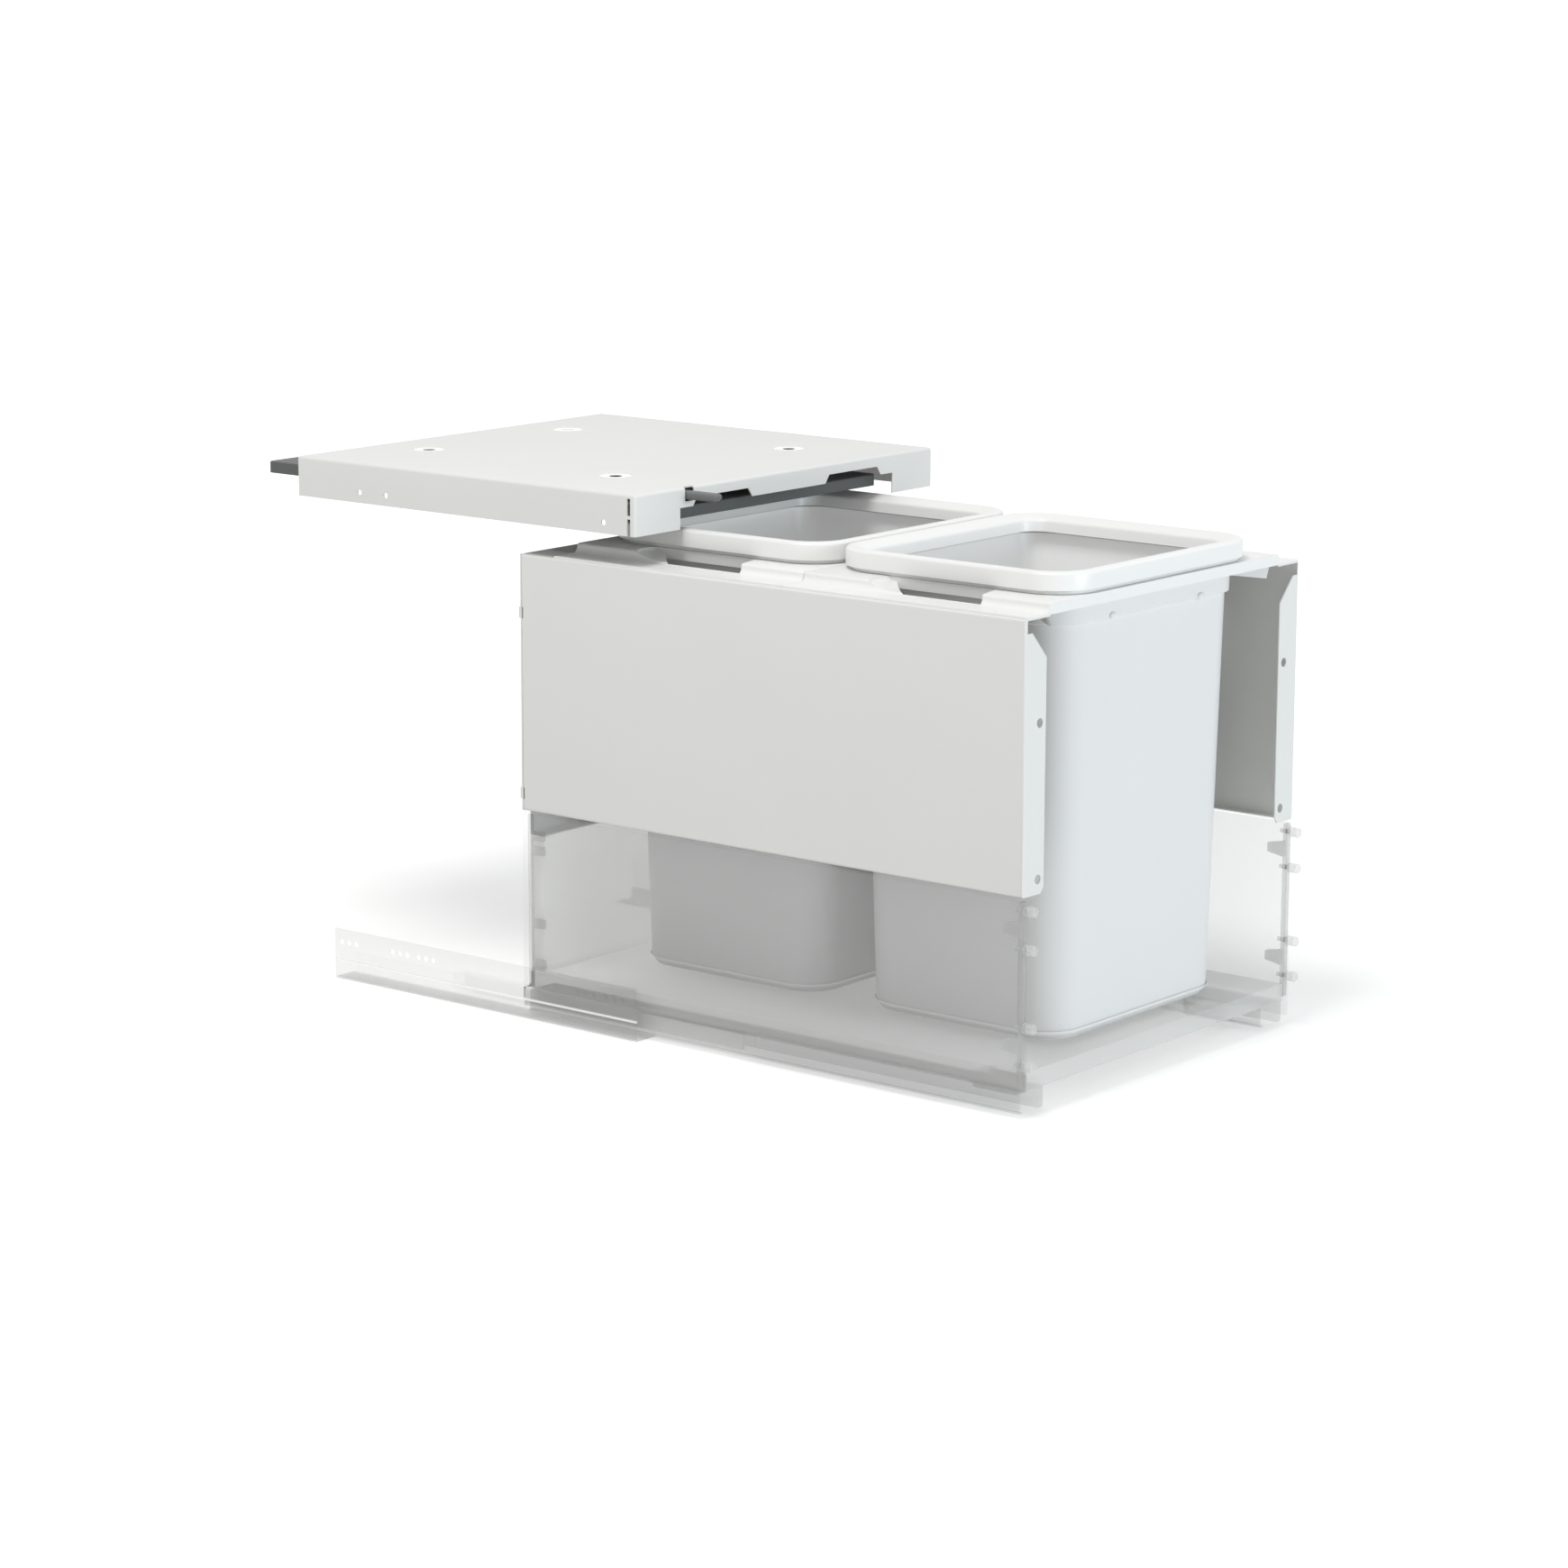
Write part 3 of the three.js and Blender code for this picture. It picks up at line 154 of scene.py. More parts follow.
def addWorld():
    world = bpy.data.worlds.new("softRoom")
    bpy.context.scene.world = world
    world.use_nodes = True
    nodes, links = world.node_tree.nodes, world.node_tree.links
    nodes.clear()
    output = nodes.new("ShaderNodeOutputWorld")
    mix = nodes.new("ShaderNodeMixShader")
    room = nodes.new("ShaderNodeBackground")
    seen = nodes.new("ShaderNodeBackground")
    dial(room, {"Strength": lighting["worldStrength"]})
    dial(seen, {"Color": white, "Strength": lighting["backdropStrength"]})
    links.new(seenDirectly(nodes, links), mix.inputs["Fac"])
    links.new(room.outputs[0], mix.inputs[1])
    links.new(seen.outputs[0], mix.inputs[2])
    links.new(mix.outputs[0], output.inputs["Surface"])


# the floor glows a little where it is seen directly, more so away from the object
floorSettings = {
    "size": 60.0, "level": -0.0005, "color": (0.80, 0.80, 0.80), "rough": 0.95,
    "nearGlow": 0.40, "farGlow": 0.75, "nearEdge": 0.9, "farEdge": 3.5,
}


def addFloor():
    bpy.ops.object.select_all(action="DESELECT")
    bpy.ops.mesh.primitive_plane_add(
        size=floorSettings["size"], location=(0, 0, floorSettings["level"]))
    floor = bpy.context.object
    floor.name = "studioFloor"
    paint = bpy.data.materials.new("floorPaint")
    paint.use_nodes = True
    nodes, links = paint.node_tree.nodes, paint.node_tree.links
    shader = nodes["Principled BSDF"]
    dial(shader, {
        "Base Color": (*floorSettings["color"], 1), "Roughness": floorSettings["rough"],
        "Emission Color": white})
    where = nodes.new("ShaderNodeTexCoord")
    reach = nodes.new("ShaderNodeVectorMath")
    reach.operation = "LENGTH"
    links.new(where.outputs["Object"], reach.inputs[0])
    rise = nodes.new("ShaderNodeMapRange")
    dial(rise, {
        "From Min": floorSettings["nearEdge"], "From Max": floorSettings["farEdge"],
        "To Min": floorSettings["nearGlow"], "To Max": floorSettings["farGlow"]})
    links.new(reach.outputs["Value"], rise.inputs["Value"])
    glow = nodes.new("ShaderNodeMath")
    glow.operation = "MULTIPLY"
    links.new(seenDirectly(nodes, links), glow.inputs[0])
    links.new(rise.outputs["Result"], glow.inputs[1])
    links.new(glow.outputs[0], shader.inputs["Emission Strength"])
    floor.data.materials.append(paint)


addCamera()
for name, settings in lighting["lamps"].items():
    addLamp(name, settings)
addWorld()
addFloor()
bpy.context.scene.view_settings.view_transform = "Standard"
print("camera, lights and floor in place")

# finishes

finishes = {
    "painted_steel": {
        "color": (0.800, 0.800, 0.780), "rough": 0.46, "grain": 2400, "depth": 0.05},
    "white_plastic": {
        "color": (0.890, 0.890, 0.875), "rough": 0.34, "grain": 1500, "depth": 0.03},
    "bin_plastic": {
        "color": (0.800, 0.803, 0.798), "rough": 0.38, "grain": 1300, "depth": 0.05},
    "lid_plastic": {
        "color": (0.092, 0.098, 0.095), "rough": 0.55, "grain": 1800, "depth": 0.08},
    "dark_plastic": {
        "color": (0.150, 0.155, 0.155), "rough": 0.42, "grain": 1800, "depth": 0.05},
    "zinc_steel": {
        "color": (0.200, 0.205, 0.210), "rough": 0.35, "metal": 0.7, "grain": 900, "depth": 0.03},
    "ghost_profile": {
        "color": (0.800, 0.803, 0.795), "rough": 0.30, "grain": 1200, "depth": 0.02,
        "alpha": 0.09},
    # the see-through boards glow: painted light that keeps them pale where they sit in shade
    "ghost_board": {
        "color": (0.760, 0.760, 0.745), "rough": 0.5, "grain": 500, "depth": 0.02,
        "alpha": 0.58, "glow": 0.27},
    "ghost_steel": {
        "color": (0.700, 0.705, 0.695), "rough": 0.35, "grain": 1500, "depth": 0.02,
        "alpha": 0.13},
}
# see-through pieces that show more or less strongly than the rest of their finish; the drawer
# floor's glow is painted light
veil = {
    "cabinet_rail": {"alpha": 0.15},
    "middle_rail": {"alpha": 0.02},
    "drawer_rail": {"alpha": 0.18},
    "drawer_floor": {"alpha": 0.42, "glow": 0.12},
    "front_bracket": {"alpha": 0.40},
    "rear_bracket": {"alpha": 0.12},
    "front_dowel": {"alpha": 0.30},
    "lock": {"alpha": 0.26},
}
# how every finish varies over its surface
mottle = {
    "grainDetail": 2, "sheenSpread": 0.05, "bumpDistance": 0.2 * mm,
    "driftScale": 9, "driftDetail": 3, "darkest": 0.985, "palest": 1.015,
}


def makeFinish(name, settings):
    material = bpy.data.materials.new(name)
    material.use_nodes = True
    nodes, links = material.node_tree.nodes, material.node_tree.links
    shader = nodes["Principled BSDF"]
    # glow is painted light: an emission in the finish's own colour that makes the surface brighter
    # than its lighting does
    dial(shader, {
        "Metallic": settings.get("metal", 0.0), "Alpha": settings.get("alpha", 1.0),
        "Emission Color": (*settings["color"], 1),
        "Emission Strength": settings.get("glow", 0.0)})
    where = nodes.new("ShaderNodeTexCoord")
    grain = nodes.new("ShaderNodeTexNoise")  # fine texture of the paint or the mould
    dial(grain, {"Scale": settings["grain"], "Detail": mottle["grainDetail"]})
    links.new(where.outputs["Object"], grain.inputs["Vector"])
    drift = nodes.new("ShaderNodeTexNoise")  # slow drift of the tone
    dial(drift, {"Scale": mottle["driftScale"], "Detail": mottle["driftDetail"]})
    links.new(where.outputs["Object"], drift.inputs["Vector"])
    tone = nodes.new("ShaderNodeMix")
    tone.data_type = "RGBA"
    dial(tone, {
        "A": (*[c * mottle["darkest"] for c in settings["color"]], 1),
        "B": (*[min(c * mottle["palest"], 1) for c in settings["color"]], 1)})
    links.new(drift.outputs["Fac"], tone.inputs["Factor"])
    links.new(tone.outputs["Result"], shader.inputs["Base Color"])
    sheen = nodes.new("ShaderNodeMapRange")
    dial(sheen, {
        "To Min": settings["rough"] - mottle["sheenSpread"],
        "To Max": settings["rough"] + mottle["sheenSpread"]})
    links.new(grain.outputs["Fac"], sheen.inputs["Value"])
    links.new(sheen.outputs["Result"], shader.inputs["Roughness"])
    bump = nodes.new("ShaderNodeBump")
    dial(bump, {"Strength": settings["depth"], "Distance": mottle["bumpDistance"]})
    links.new(grain.outputs["Fac"], bump.inputs["Height"])
    links.new(bump.outputs["Normal"], shader.inputs["Normal"])
    return material


def variant(slot, suffix, **changes):
    # a finish of this slot with some of its settings changed
    return makeFinish(f"{slot}_{suffix}", {**finishes[slot], **changes})


materials = {name: makeFinish(name, settings) for name, settings in finishes.items()}
veiled = {}
for kind, changes in veil.items():
    slot = next(slotOf[node] for node in slotOf if node.startswith(kind))
    veiled[kind] = variant(slot, kind, **changes)
for name, node in frame["nodes"].items():
    kind = next((kind for kind in veiled if name.startswith(kind)), None)
    node.data.materials.clear()
    node.data.materials.append(veiled[kind] if kind else materials[slotOf[name]])
print("finishes:", len(materials) + len(veiled))

# shared moves at the bench

square = 0.9  # a face looks along an axis when its normal has this much of it
leaning = 0.5  # and leans that way when it has this much
straight = 0.99  # an edge runs along an axis when this share of its length does
hair = 0.01 * mm  # too small to see: starts a new ring of faces, and merges loose points


def only(piece):
    bpy.ops.object.select_all(action="DESELECT")
    piece.select_set(True)
    bpy.context.view_layer.objects.active = piece


def edit(piece):
    only(piece)
    bpy.ops.object.mode_set(mode="EDIT")
    bpy.ops.mesh.select_all(action="DESELECT")


def leave():
    bpy.ops.object.mode_set(mode="OBJECT")


def pick(kind, test):
    bpy.ops.mesh.select_mode(type=kind)
    bpy.ops.mesh.select_all(action="DESELECT")
    mesh = bmesh.from_edit_mesh(bpy.context.object.data)
    for item in {"VERT": mesh.verts, "EDGE": mesh.edges, "FACE": mesh.faces}[kind]:
        if test(item):
            item.select_set(True)
    bmesh.update_edit_mesh(bpy.context.object.data)


def near(a, b, slack=0.05 * mm):
    return abs(a - b) < slack


def middle(edge):
    return (edge.verts[0].co + edge.verts[1].co) / 2


def centreOf(face):
    return face.calc_center_median()


def runs(edge, axis):
    along = edge.verts[1].co - edge.verts[0].co
    return abs(getattr(along, axis)) > straight * along.length


def betweenFaces(edge):
    # not on an open rim
    return len(edge.link_faces) == 2


def applyPlace():
    bpy.ops.object.transform_apply(location=True, rotation=True, scale=True)


def startBlock(name, low, high):
    bpy.ops.object.select_all(action="DESELECT")
    low, high = Vector(low), Vector(high)
    bpy.ops.mesh.primitive_cube_add(size=1, location=(low + high) / 2)
    piece = bpy.context.object
    piece.name = name
    piece.scale = high - low
    applyPlace()
    return piece


def startRod(name, radius, start, end, sides=24):
    bpy.ops.object.select_all(action="DESELECT")
    start, end = Vector(start), Vector(end)
    bpy.ops.mesh.primitive_cylinder_add(
        vertices=sides, radius=radius, depth=(end - start).length, location=(start + end) / 2,
        rotation=(end - start).to_track_quat("Z", "Y").to_euler())
    piece = bpy.context.object
    piece.name = name
    applyPlace()
    return piece


def startBall(name, size, place, segments, rings):
    bpy.ops.object.select_all(action="DESELECT")
    bpy.ops.mesh.primitive_uv_sphere_add(
        segments=segments, ring_count=rings, radius=1, location=place)
    piece = bpy.context.object
    piece.name = name
    piece.scale = size
    applyPlace()
    return piece


def startPlate(name, half, front, rear, level, radius, segments):
    # a flat plate with rounded corners, left in edit mode with its face chosen
    bpy.ops.object.select_all(action="DESELECT")
    low, high = Vector((-half, front, level)), Vector((half, rear, level))
    bpy.ops.mesh.primitive_plane_add(size=1, location=(low + high) / 2)
    piece = bpy.context.object
    piece.name = name
    piece.scale = (high.x - low.x, high.y - low.y, 1)
    applyPlace()
    edit(piece)
    bpy.ops.mesh.select_all(action="SELECT")
    bpy.ops.mesh.bevel(affect="VERTICES", offset=radius, segments=segments)
    bpy.ops.mesh.select_mode(type="FACE")
    bpy.ops.mesh.select_all(action="SELECT")
    return piece


def drawUp(rise, grow=0.0):
    # pulls the chosen face up into a new ring of walls and widens it
    bpy.ops.mesh.extrude_region_move(TRANSFORM_OT_translate={"value": (0, 0, rise)})
    if grow:
        resizeChosen(grow, grow, grow)


def resizeChosen(side, front, rear):
    mesh = bmesh.from_edit_mesh(bpy.context.object.data)
    chosen = [v.co.copy() for v in mesh.verts if v.select]
    low = Vector([min(co[i] for co in chosen) for i in range(3)])
    high = Vector([max(co[i] for co in chosen) for i in range(3)])
    size = high - low
    bpy.ops.transform.resize(
        value=((size.x + 2 * side) / size.x, (size.y + front + rear) / size.y, 1),
        center_override=(low + high) / 2)
    bpy.ops.transform.translate(value=(0, (rear - front) / 2, 0))


def applied(piece, kind, **settings):
    only(piece)
    modifier = piece.modifiers.new(kind.title(), kind)
    for key, value in settings.items():
        setattr(modifier, key, value)
    bpy.ops.object.modifier_apply(modifier=modifier.name)


def carve(piece, tool, operation="DIFFERENCE"):
    applied(piece, "BOOLEAN", object=tool, operation=operation, solver="EXACT")
    bpy.data.objects.remove(tool)


def joined(piece, others):
    only(piece)
    for other in others:
        other.select_set(True)
    bpy.ops.object.join()


def mirroredCopy(piece, name):
    twin = piece.copy()
    twin.data = piece.data.copy()
    twin.name = name
    bpy.context.scene.collection.objects.link(twin)
    edit(twin)
    bpy.ops.mesh.select_all(action="SELECT")
    bpy.ops.transform.mirror(constraint_axis=(True, False, False), center_override=(0, 0, 0))
    bpy.ops.mesh.flip_normals()
    leave()
    return twin


def settle(piece, node, smoothAngle=35):
    # smooth shading, finish and body of the CAD node that the piece stands for
    only(piece)
    bpy.ops.object.shade_smooth_by_angle(angle=math.radians(smoothAngle))
    piece.data.materials.clear()
    piece.data.materials.append(frame["nodes"][node].data.materials[0])
    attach(piece, body_of(frame["nodes"][node])[0])
    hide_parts(node)


def paintFaces(piece, finish, test):
    piece.data.materials.append(finish)
    edit(piece)
    pick("FACE", test)
    piece.active_material_index = len(piece.data.materials) - 1
    bpy.ops.object.material_slot_assign()
    leave()


def pieceName(node):
    words = node.split("_")
    return words[0] + "".join(word.capitalize() for word in words[1:])


# angles in degrees: flatter than the first is one face, sharper than the second is broken
edgeBreak = {"flatWithin": 0.5, "sharpFrom": 40, "segments": 2}


def easedCopy(node, width):
    # the CAD shape with its edges broken
    source = frame["nodes"][node]
    piece = bpy.data.objects.new(pieceName(node), source.data.copy())
    bpy.context.scene.collection.objects.link(piece)
    edit(piece)
    bpy.ops.mesh.select_all(action="SELECT")
    bpy.ops.mesh.remove_doubles(threshold=hair)
    bpy.ops.mesh.dissolve_limited(angle_limit=math.radians(edgeBreak["flatWithin"]))
    leave()
    applied(
        piece, "BEVEL", width=width, segments=edgeBreak["segments"], limit_method="ANGLE",
        angle_limit=math.radians(edgeBreak["sharpFrom"]), use_clamp_overlap=True,
        miter_outer="MITER_ARC")
    settle(piece, node)
    return piece


# bins

wasteBin = {
    "halfBase": 124 * mm, "baseFront": 21 * mm, "baseRear": 224 * mm,
    "halfMouth": 131.5 * mm, "mouthFront": 13.5 * mm, "mouthRear": 235.5 * mm,
    "cornerRadius": 33 * mm, "cornerSegments": 14,
    "wall": 2.5 * mm, "collar": 3 * mm, "collarHeight": 27.6 * mm, "stepHeight": 1.4 * mm,
    "rimReach": 5.5 * mm, "rimThickness": 3 * mm, "rimRadius": 0.8 * mm, "rimSegments": 3,
    "footRadius": 6 * mm, "footSegments": 5, "floorRadius": 5 * mm, "floorSegments": 4,
    "nubSpacing": 65 * mm, "nubSize": (4.6 * mm, 2.4 * mm, 3.2 * mm), "nubLift": 3 * mm,
    "nubSegments": 20, "nubRings": 12,
    # inner faces that get a painted-light glow: above the base by this much, and turned to the
    # middle by this much
    "insideFrom": 1 * mm, "insideLean": 0.2,
    "smoothAngle": 50,
}
# painted light: a faint glow brightens the bins' inner faces
binInsidePaintedLight = variant("bin_plastic", "inside", glow=0.10)


def modelBin(row, start):
    node = f"bin_{row}"
    low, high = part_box(node)
    base = low.z
    rimBottom = high.z - wasteBin["rimThickness"]
    step = rimBottom - wasteBin["collarHeight"]
    share = (step - base) / (rimBottom - base)
    side = wasteBin["halfMouth"] - wasteBin["halfBase"]
    front = wasteBin["baseFront"] - wasteBin["mouthFront"]
    rear = wasteBin["mouthRear"] - wasteBin["baseRear"]
    piece = startPlate(
        pieceName(node), wasteBin["halfBase"], start + wasteBin["baseFront"],
        start + wasteBin["baseRear"], base, wasteBin["cornerRadius"], wasteBin["cornerSegments"])
    drawUp(step - base)
    resizeChosen(side * share, front * share, rear * share)
    drawUp(wasteBin["stepHeight"], wasteBin["collar"])
    drawUp(wasteBin["collarHeight"] - wasteBin["stepHeight"])
    resizeChosen(side * (1 - share), front * (1 - share), rear * (1 - share))
    drawUp(hair, wasteBin["rimReach"])
    drawUp(wasteBin["rimThickness"])
    bpy.ops.mesh.inset(thickness=wasteBin["rimReach"] + wasteBin["collar"] + wasteBin["wall"])
    drawUp(base + wasteBin["wall"] - high.z)
    resizeChosen(-side, -front, -rear)
    pick("EDGE", lambda e: not runs(e, "z") and all(near(v.co.z, base) for v in e.verts))
    bpy.ops.mesh.bevel(offset=wasteBin["footRadius"], segments=wasteBin["footSegments"])
    pick("EDGE", lambda e: all(near(v.co.z, base + wasteBin["wall"]) for v in e.verts))
    bpy.ops.mesh.bevel(offset=wasteBin["floorRadius"], segments=wasteBin["floorSegments"])
    pick("EDGE", lambda e: all(near(v.co.z, high.z) for v in e.verts))
    bpy.ops.mesh.bevel(offset=wasteBin["rimRadius"], segments=wasteBin["rimSegments"])
    leave()
    joined(piece, [startBall(
        "nub", wasteBin["nubSize"],
        (place, start + wasteBin["mouthFront"] - wasteBin["collar"], step + wasteBin["nubLift"]),
        wasteBin["nubSegments"], wasteBin["nubRings"])
        for place in (-wasteBin["nubSpacing"], wasteBin["nubSpacing"])])
    settle(piece, node, wasteBin["smoothAngle"])
    heart = Vector((0, start + (wasteBin["mouthFront"] + wasteBin["mouthRear"]) / 2, 0))

    def looksInward(face):
        inward = heart - centreOf(face)
        return (base + wasteBin["insideFrom"] < centreOf(face).z < high.z - wasteBin["rimThickness"]
                and face.normal.dot(inward)
                > wasteBin["insideLean"] * abs(face.normal.z) * inward.length)

    # the inner faces get the painted-light glow
    paintFaces(piece, binInsidePaintedLight, looksInward)


rowStart = {row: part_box(f"frame_{row}")[0].y for row in ("front", "rear")}
for row, start in rowStart.items():
    modelBin(row, start)
print("bins modelled")

# bag rings

ring = {
    "cornerRadius": 42 * mm, "cornerSegments": 16, "smoothAngle": 60,
    "wallTop": 12.6 * mm,
    # inset and rise of each step from the wall over the crown and down inside, in mm
    "crown": (
        (0.4, 1.1), (0.9, 0.8), (1.6, 0.5), (2.0, 0.3), (2.1, 0.1), (2.4, -0.3), (5.0, -1.6),
        (5.0, -1.6), (1.4, -0.8), (0.6, -1.0), (0.3, -1.6), (1.1, -7.2)),
}


def modelRing(row):
    node = f"ring_{row}"
    low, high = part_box(node)
    piece = startPlate(
        pieceName(node), high.x, low.y, high.y, low.z, ring["cornerRadius"],
        ring["cornerSegments"])
    drawUp(ring["wallTop"])
    for inward, rise in ring["crown"]:
        bpy.ops.mesh.inset(thickness=inward * mm)
        bpy.ops.transform.translate(value=(0, 0, rise * mm))
    bpy.ops.mesh.delete(type="FACE")
    pick("FACE", lambda f: near(centreOf(f).z, low.z) and abs(f.normal.z) > square)
    bpy.ops.mesh.delete(type="FACE")
    bpy.ops.mesh.select_mode(type="EDGE")
    bpy.ops.mesh.select_all(action="DESELECT")
    bpy.ops.mesh.select_non_manifold()
    bpy.ops.mesh.bridge_edge_loops()
    bpy.ops.mesh.select_all(action="SELECT")
    bpy.ops.mesh.normals_make_consistent(inside=False)
    leave()
    settle(piece, node, ring["smoothAngle"])


for row in rowStart:
    modelRing(row)
print("bag rings modelled")

# frames that carry the bins

# past: how far a cutting tool reaches beyond the frame; sink and lap: how far a joined part
# stays under the top or runs into the next one
carrier = {
    "rise": 9.38 * mm, "brim": 1.45 * mm, "wall": 2.5 * mm, "halfPlateau": 169 * mm,
    "edgeRadius": 2.2 * mm, "edgeSegments": 4, "cove": 5.5 * mm, "coveSegments": 8,
    "seamEdge": 0.7 * mm, "seamSegments": 2, "seamFrom": 0.1 * mm,
    "openingHalf": 135.5 * mm, "openingFront": 9.5 * mm, "openingRear": 239.5 * mm,
    "openingRadius": 37 * mm, "openingSegments": 12, "openingPast": 5 * mm,
    "collar": 5 * mm, "sink": 1 * mm,
    "backingFront": 4 * mm, "backingRear": 3 * mm, "backingDrop": 1.2 * mm,
    "scoopInner": 140.5 * mm, "scoopOuter": 172.5 * mm, "scoopPast": 2 * mm,
    "scoopFront": 66.5 * mm, "scoopFrontSkew": 8 * mm,
    "scoopRear": 146 * mm, "scoopRearSkew": 30 * mm,
    "dishLength": 42 * mm, "dishDepth": 8 * mm, "dishShift": 2 * mm, "dishPast": 20 * mm,
    "dishSegments": 64, "dishRings": 32,
    "gussetInset": 6 * mm, "gussetDepth": 18 * mm, "gussetSlant": 8 * mm,
    "gussetOuter": 2 * mm, "gussetLap": 0.5 * mm,
    "smoothAngle": 32,
}


def frameShell(node, seam):
    # plateau between two brims, hollow from below
    low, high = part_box(node)
    bottom, top = high.z - carrier["rise"], high.z
    brimTop = bottom + carrier["brim"]
    half = carrier["halfPlateau"]
    piece = startBlock(pieceName(node), (low.x, low.y, bottom), (high.x, high.y, brimTop))
    edit(piece)
    for side in (-half, half):
        bpy.ops.mesh.select_all(action="SELECT")
        bpy.ops.mesh.bisect(plane_co=(side, 0, 0), plane_no=(1, 0, 0))
    pick("FACE", lambda f: f.normal.z > square and abs(centreOf(f).x) < half)
    drawUp(top - brimTop)
    for level, radius, segments in (
            (top, carrier["edgeRadius"], carrier["edgeSegments"]),
            (brimTop, carrier["cove"], carrier["coveSegments"])):
        pick("EDGE", lambda e: (
            runs(e, "y") and near(abs(middle(e).x), half) and near(middle(e).z, level)))
        bpy.ops.mesh.bevel(offset=radius, segments=segments)
    pick("EDGE", lambda e: (
        all(near(v.co.y, seam) for v in e.verts) and middle(e).z > brimTop + carrier["seamFrom"]
        and betweenFaces(e) and any(abs(f.normal.y) < leaning for f in e.link_faces)))
    bpy.ops.mesh.bevel(offset=carrier["seamEdge"], segments=carrier["seamSegments"])
    leave()
    wall = carrier["wall"]
    carve(piece, startBlock(
        "hollow", (-half + wall, low.y + wall, bottom - carrier["openingPast"]),
        (half - wall, high.y - wall, top - wall)))
    return piece


def collarBlock(start, bottom, top):
    wall = carrier["wall"]
    tool = startPlate(
        "collar", carrier["openingHalf"] + carrier["collar"],
        start + carrier["openingFront"] - wall, start + carrier["openingRear"] + wall,
        bottom, carrier["openingRadius"] + wall, carrier["openingSegments"])
    drawUp(top - carrier["sink"] - bottom)
    leave()
    return tool


def backingBlock(start, bottom, top):
    # solid ground for the dish to be sunk into
    scoopRear = start + carrier["scoopRear"]
    return startBlock(
        "backing",
        (carrier["openingHalf"] - carrier["sink"], scoopRear - carrier["backingFront"], bottom),
        (carrier["halfPlateau"] - carrier["sink"],
         scoopRear + carrier["dishLength"] + carrier["backingRear"],
         top - carrier["backingDrop"]))


def scoopTool(start, bottom, top):
    inner = carrier["scoopInner"]
    front, rear = start + carrier["scoopFront"], start + carrier["scoopRear"]
    tool = startBlock(
        "scoopTool", (inner, front, bottom - carrier["scoopPast"]),
        (carrier["scoopOuter"], rear, top + carrier["scoopPast"]))
    edit(tool)
    for along, skew in ((front, carrier["scoopFrontSkew"]), (rear, carrier["scoopRearSkew"])):
        pick("VERT", lambda v: near(v.co.x, inner) and near(v.co.y, along))
        bpy.ops.transform.translate(value=(0, skew, 0))
    leave()
    return tool


def dishTool(start, top):
    inner, outer = carrier["scoopInner"], carrier["scoopOuter"]
    rear, past = start + carrier["scoopRear"], carrier["dishPast"]
    reach = outer - inner
    tool = startBall(
        "dishTool", (reach, carrier["dishLength"], carrier["dishDepth"]),
        (inner + reach / 2 - carrier["dishShift"], rear, top),
        carrier["dishSegments"], carrier["dishRings"])
    carve(tool, startBlock(
        "dishReach", (inner, rear - past, top - carrier["dishDepth"]),
        (outer, rear + carrier["dishLength"], top + past)), "INTERSECT")
    return tool


def gussetWeb(start, top):
    wall = carrier["wall"]
    outer = carrier["halfPlateau"] - carrier["gussetOuter"]
    inner = carrier["openingHalf"] + carrier["collar"] - carrier["gussetLap"]
    low = top - wall - carrier["gussetDepth"]
    front = start + carrier["gussetInset"]
    web = startBlock(
        "gusset", (inner, front, low), (outer, front + wall, top - carrier["sink"]))
    edit(web)
    pick("VERT", lambda v: near(v.co.x, inner))
    bpy.ops.transform.translate(value=(0, outer - inner, 0))
    for across, shift in ((inner, (0, 0, wall)), (outer, (-carrier["gussetSlant"], 0, 0))):
        pick("VERT", lambda v: near(v.co.x, across) and near(v.co.z, low))
        bpy.ops.transform.translate(value=shift)
    leave()
    return web


def modelFrame(row, start):
    node = f"frame_{row}"
    low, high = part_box(node)
    bottom, top = high.z - carrier["rise"], high.z
    piece = frameShell(node, high.y if row == "front" else low.y)
    carve(piece, collarBlock(start, bottom, top), "UNION")
    for mirrored in (False, True):
        tools = [
            backingBlock(start, bottom, top), scoopTool(start, low.z, high.z),
            dishTool(start, top), gussetWeb(start, top)]
        operations = ("UNION", "DIFFERENCE", "DIFFERENCE", "UNION")
        for tool, operation in zip(tools, operations):
            if mirrored:
                twin = mirroredCopy(tool, tool.name + "Left")
                bpy.data.objects.remove(tool)
                tool = twin
            carve(piece, tool, operation)
    past = carrier["openingPast"]
    opening = startPlate(
        "opening", carrier["openingHalf"], start + carrier["openingFront"],
        start + carrier["openingRear"], bottom - past, carrier["openingRadius"],
        carrier["openingSegments"])
    drawUp(top - bottom + 2 * past)
    leave()
    carve(piece, opening)
    settle(piece, node, carrier["smoothAngle"])


for row, start in rowStart.items():
    modelFrame(row, start)
print("frames modelled")

# cover pan

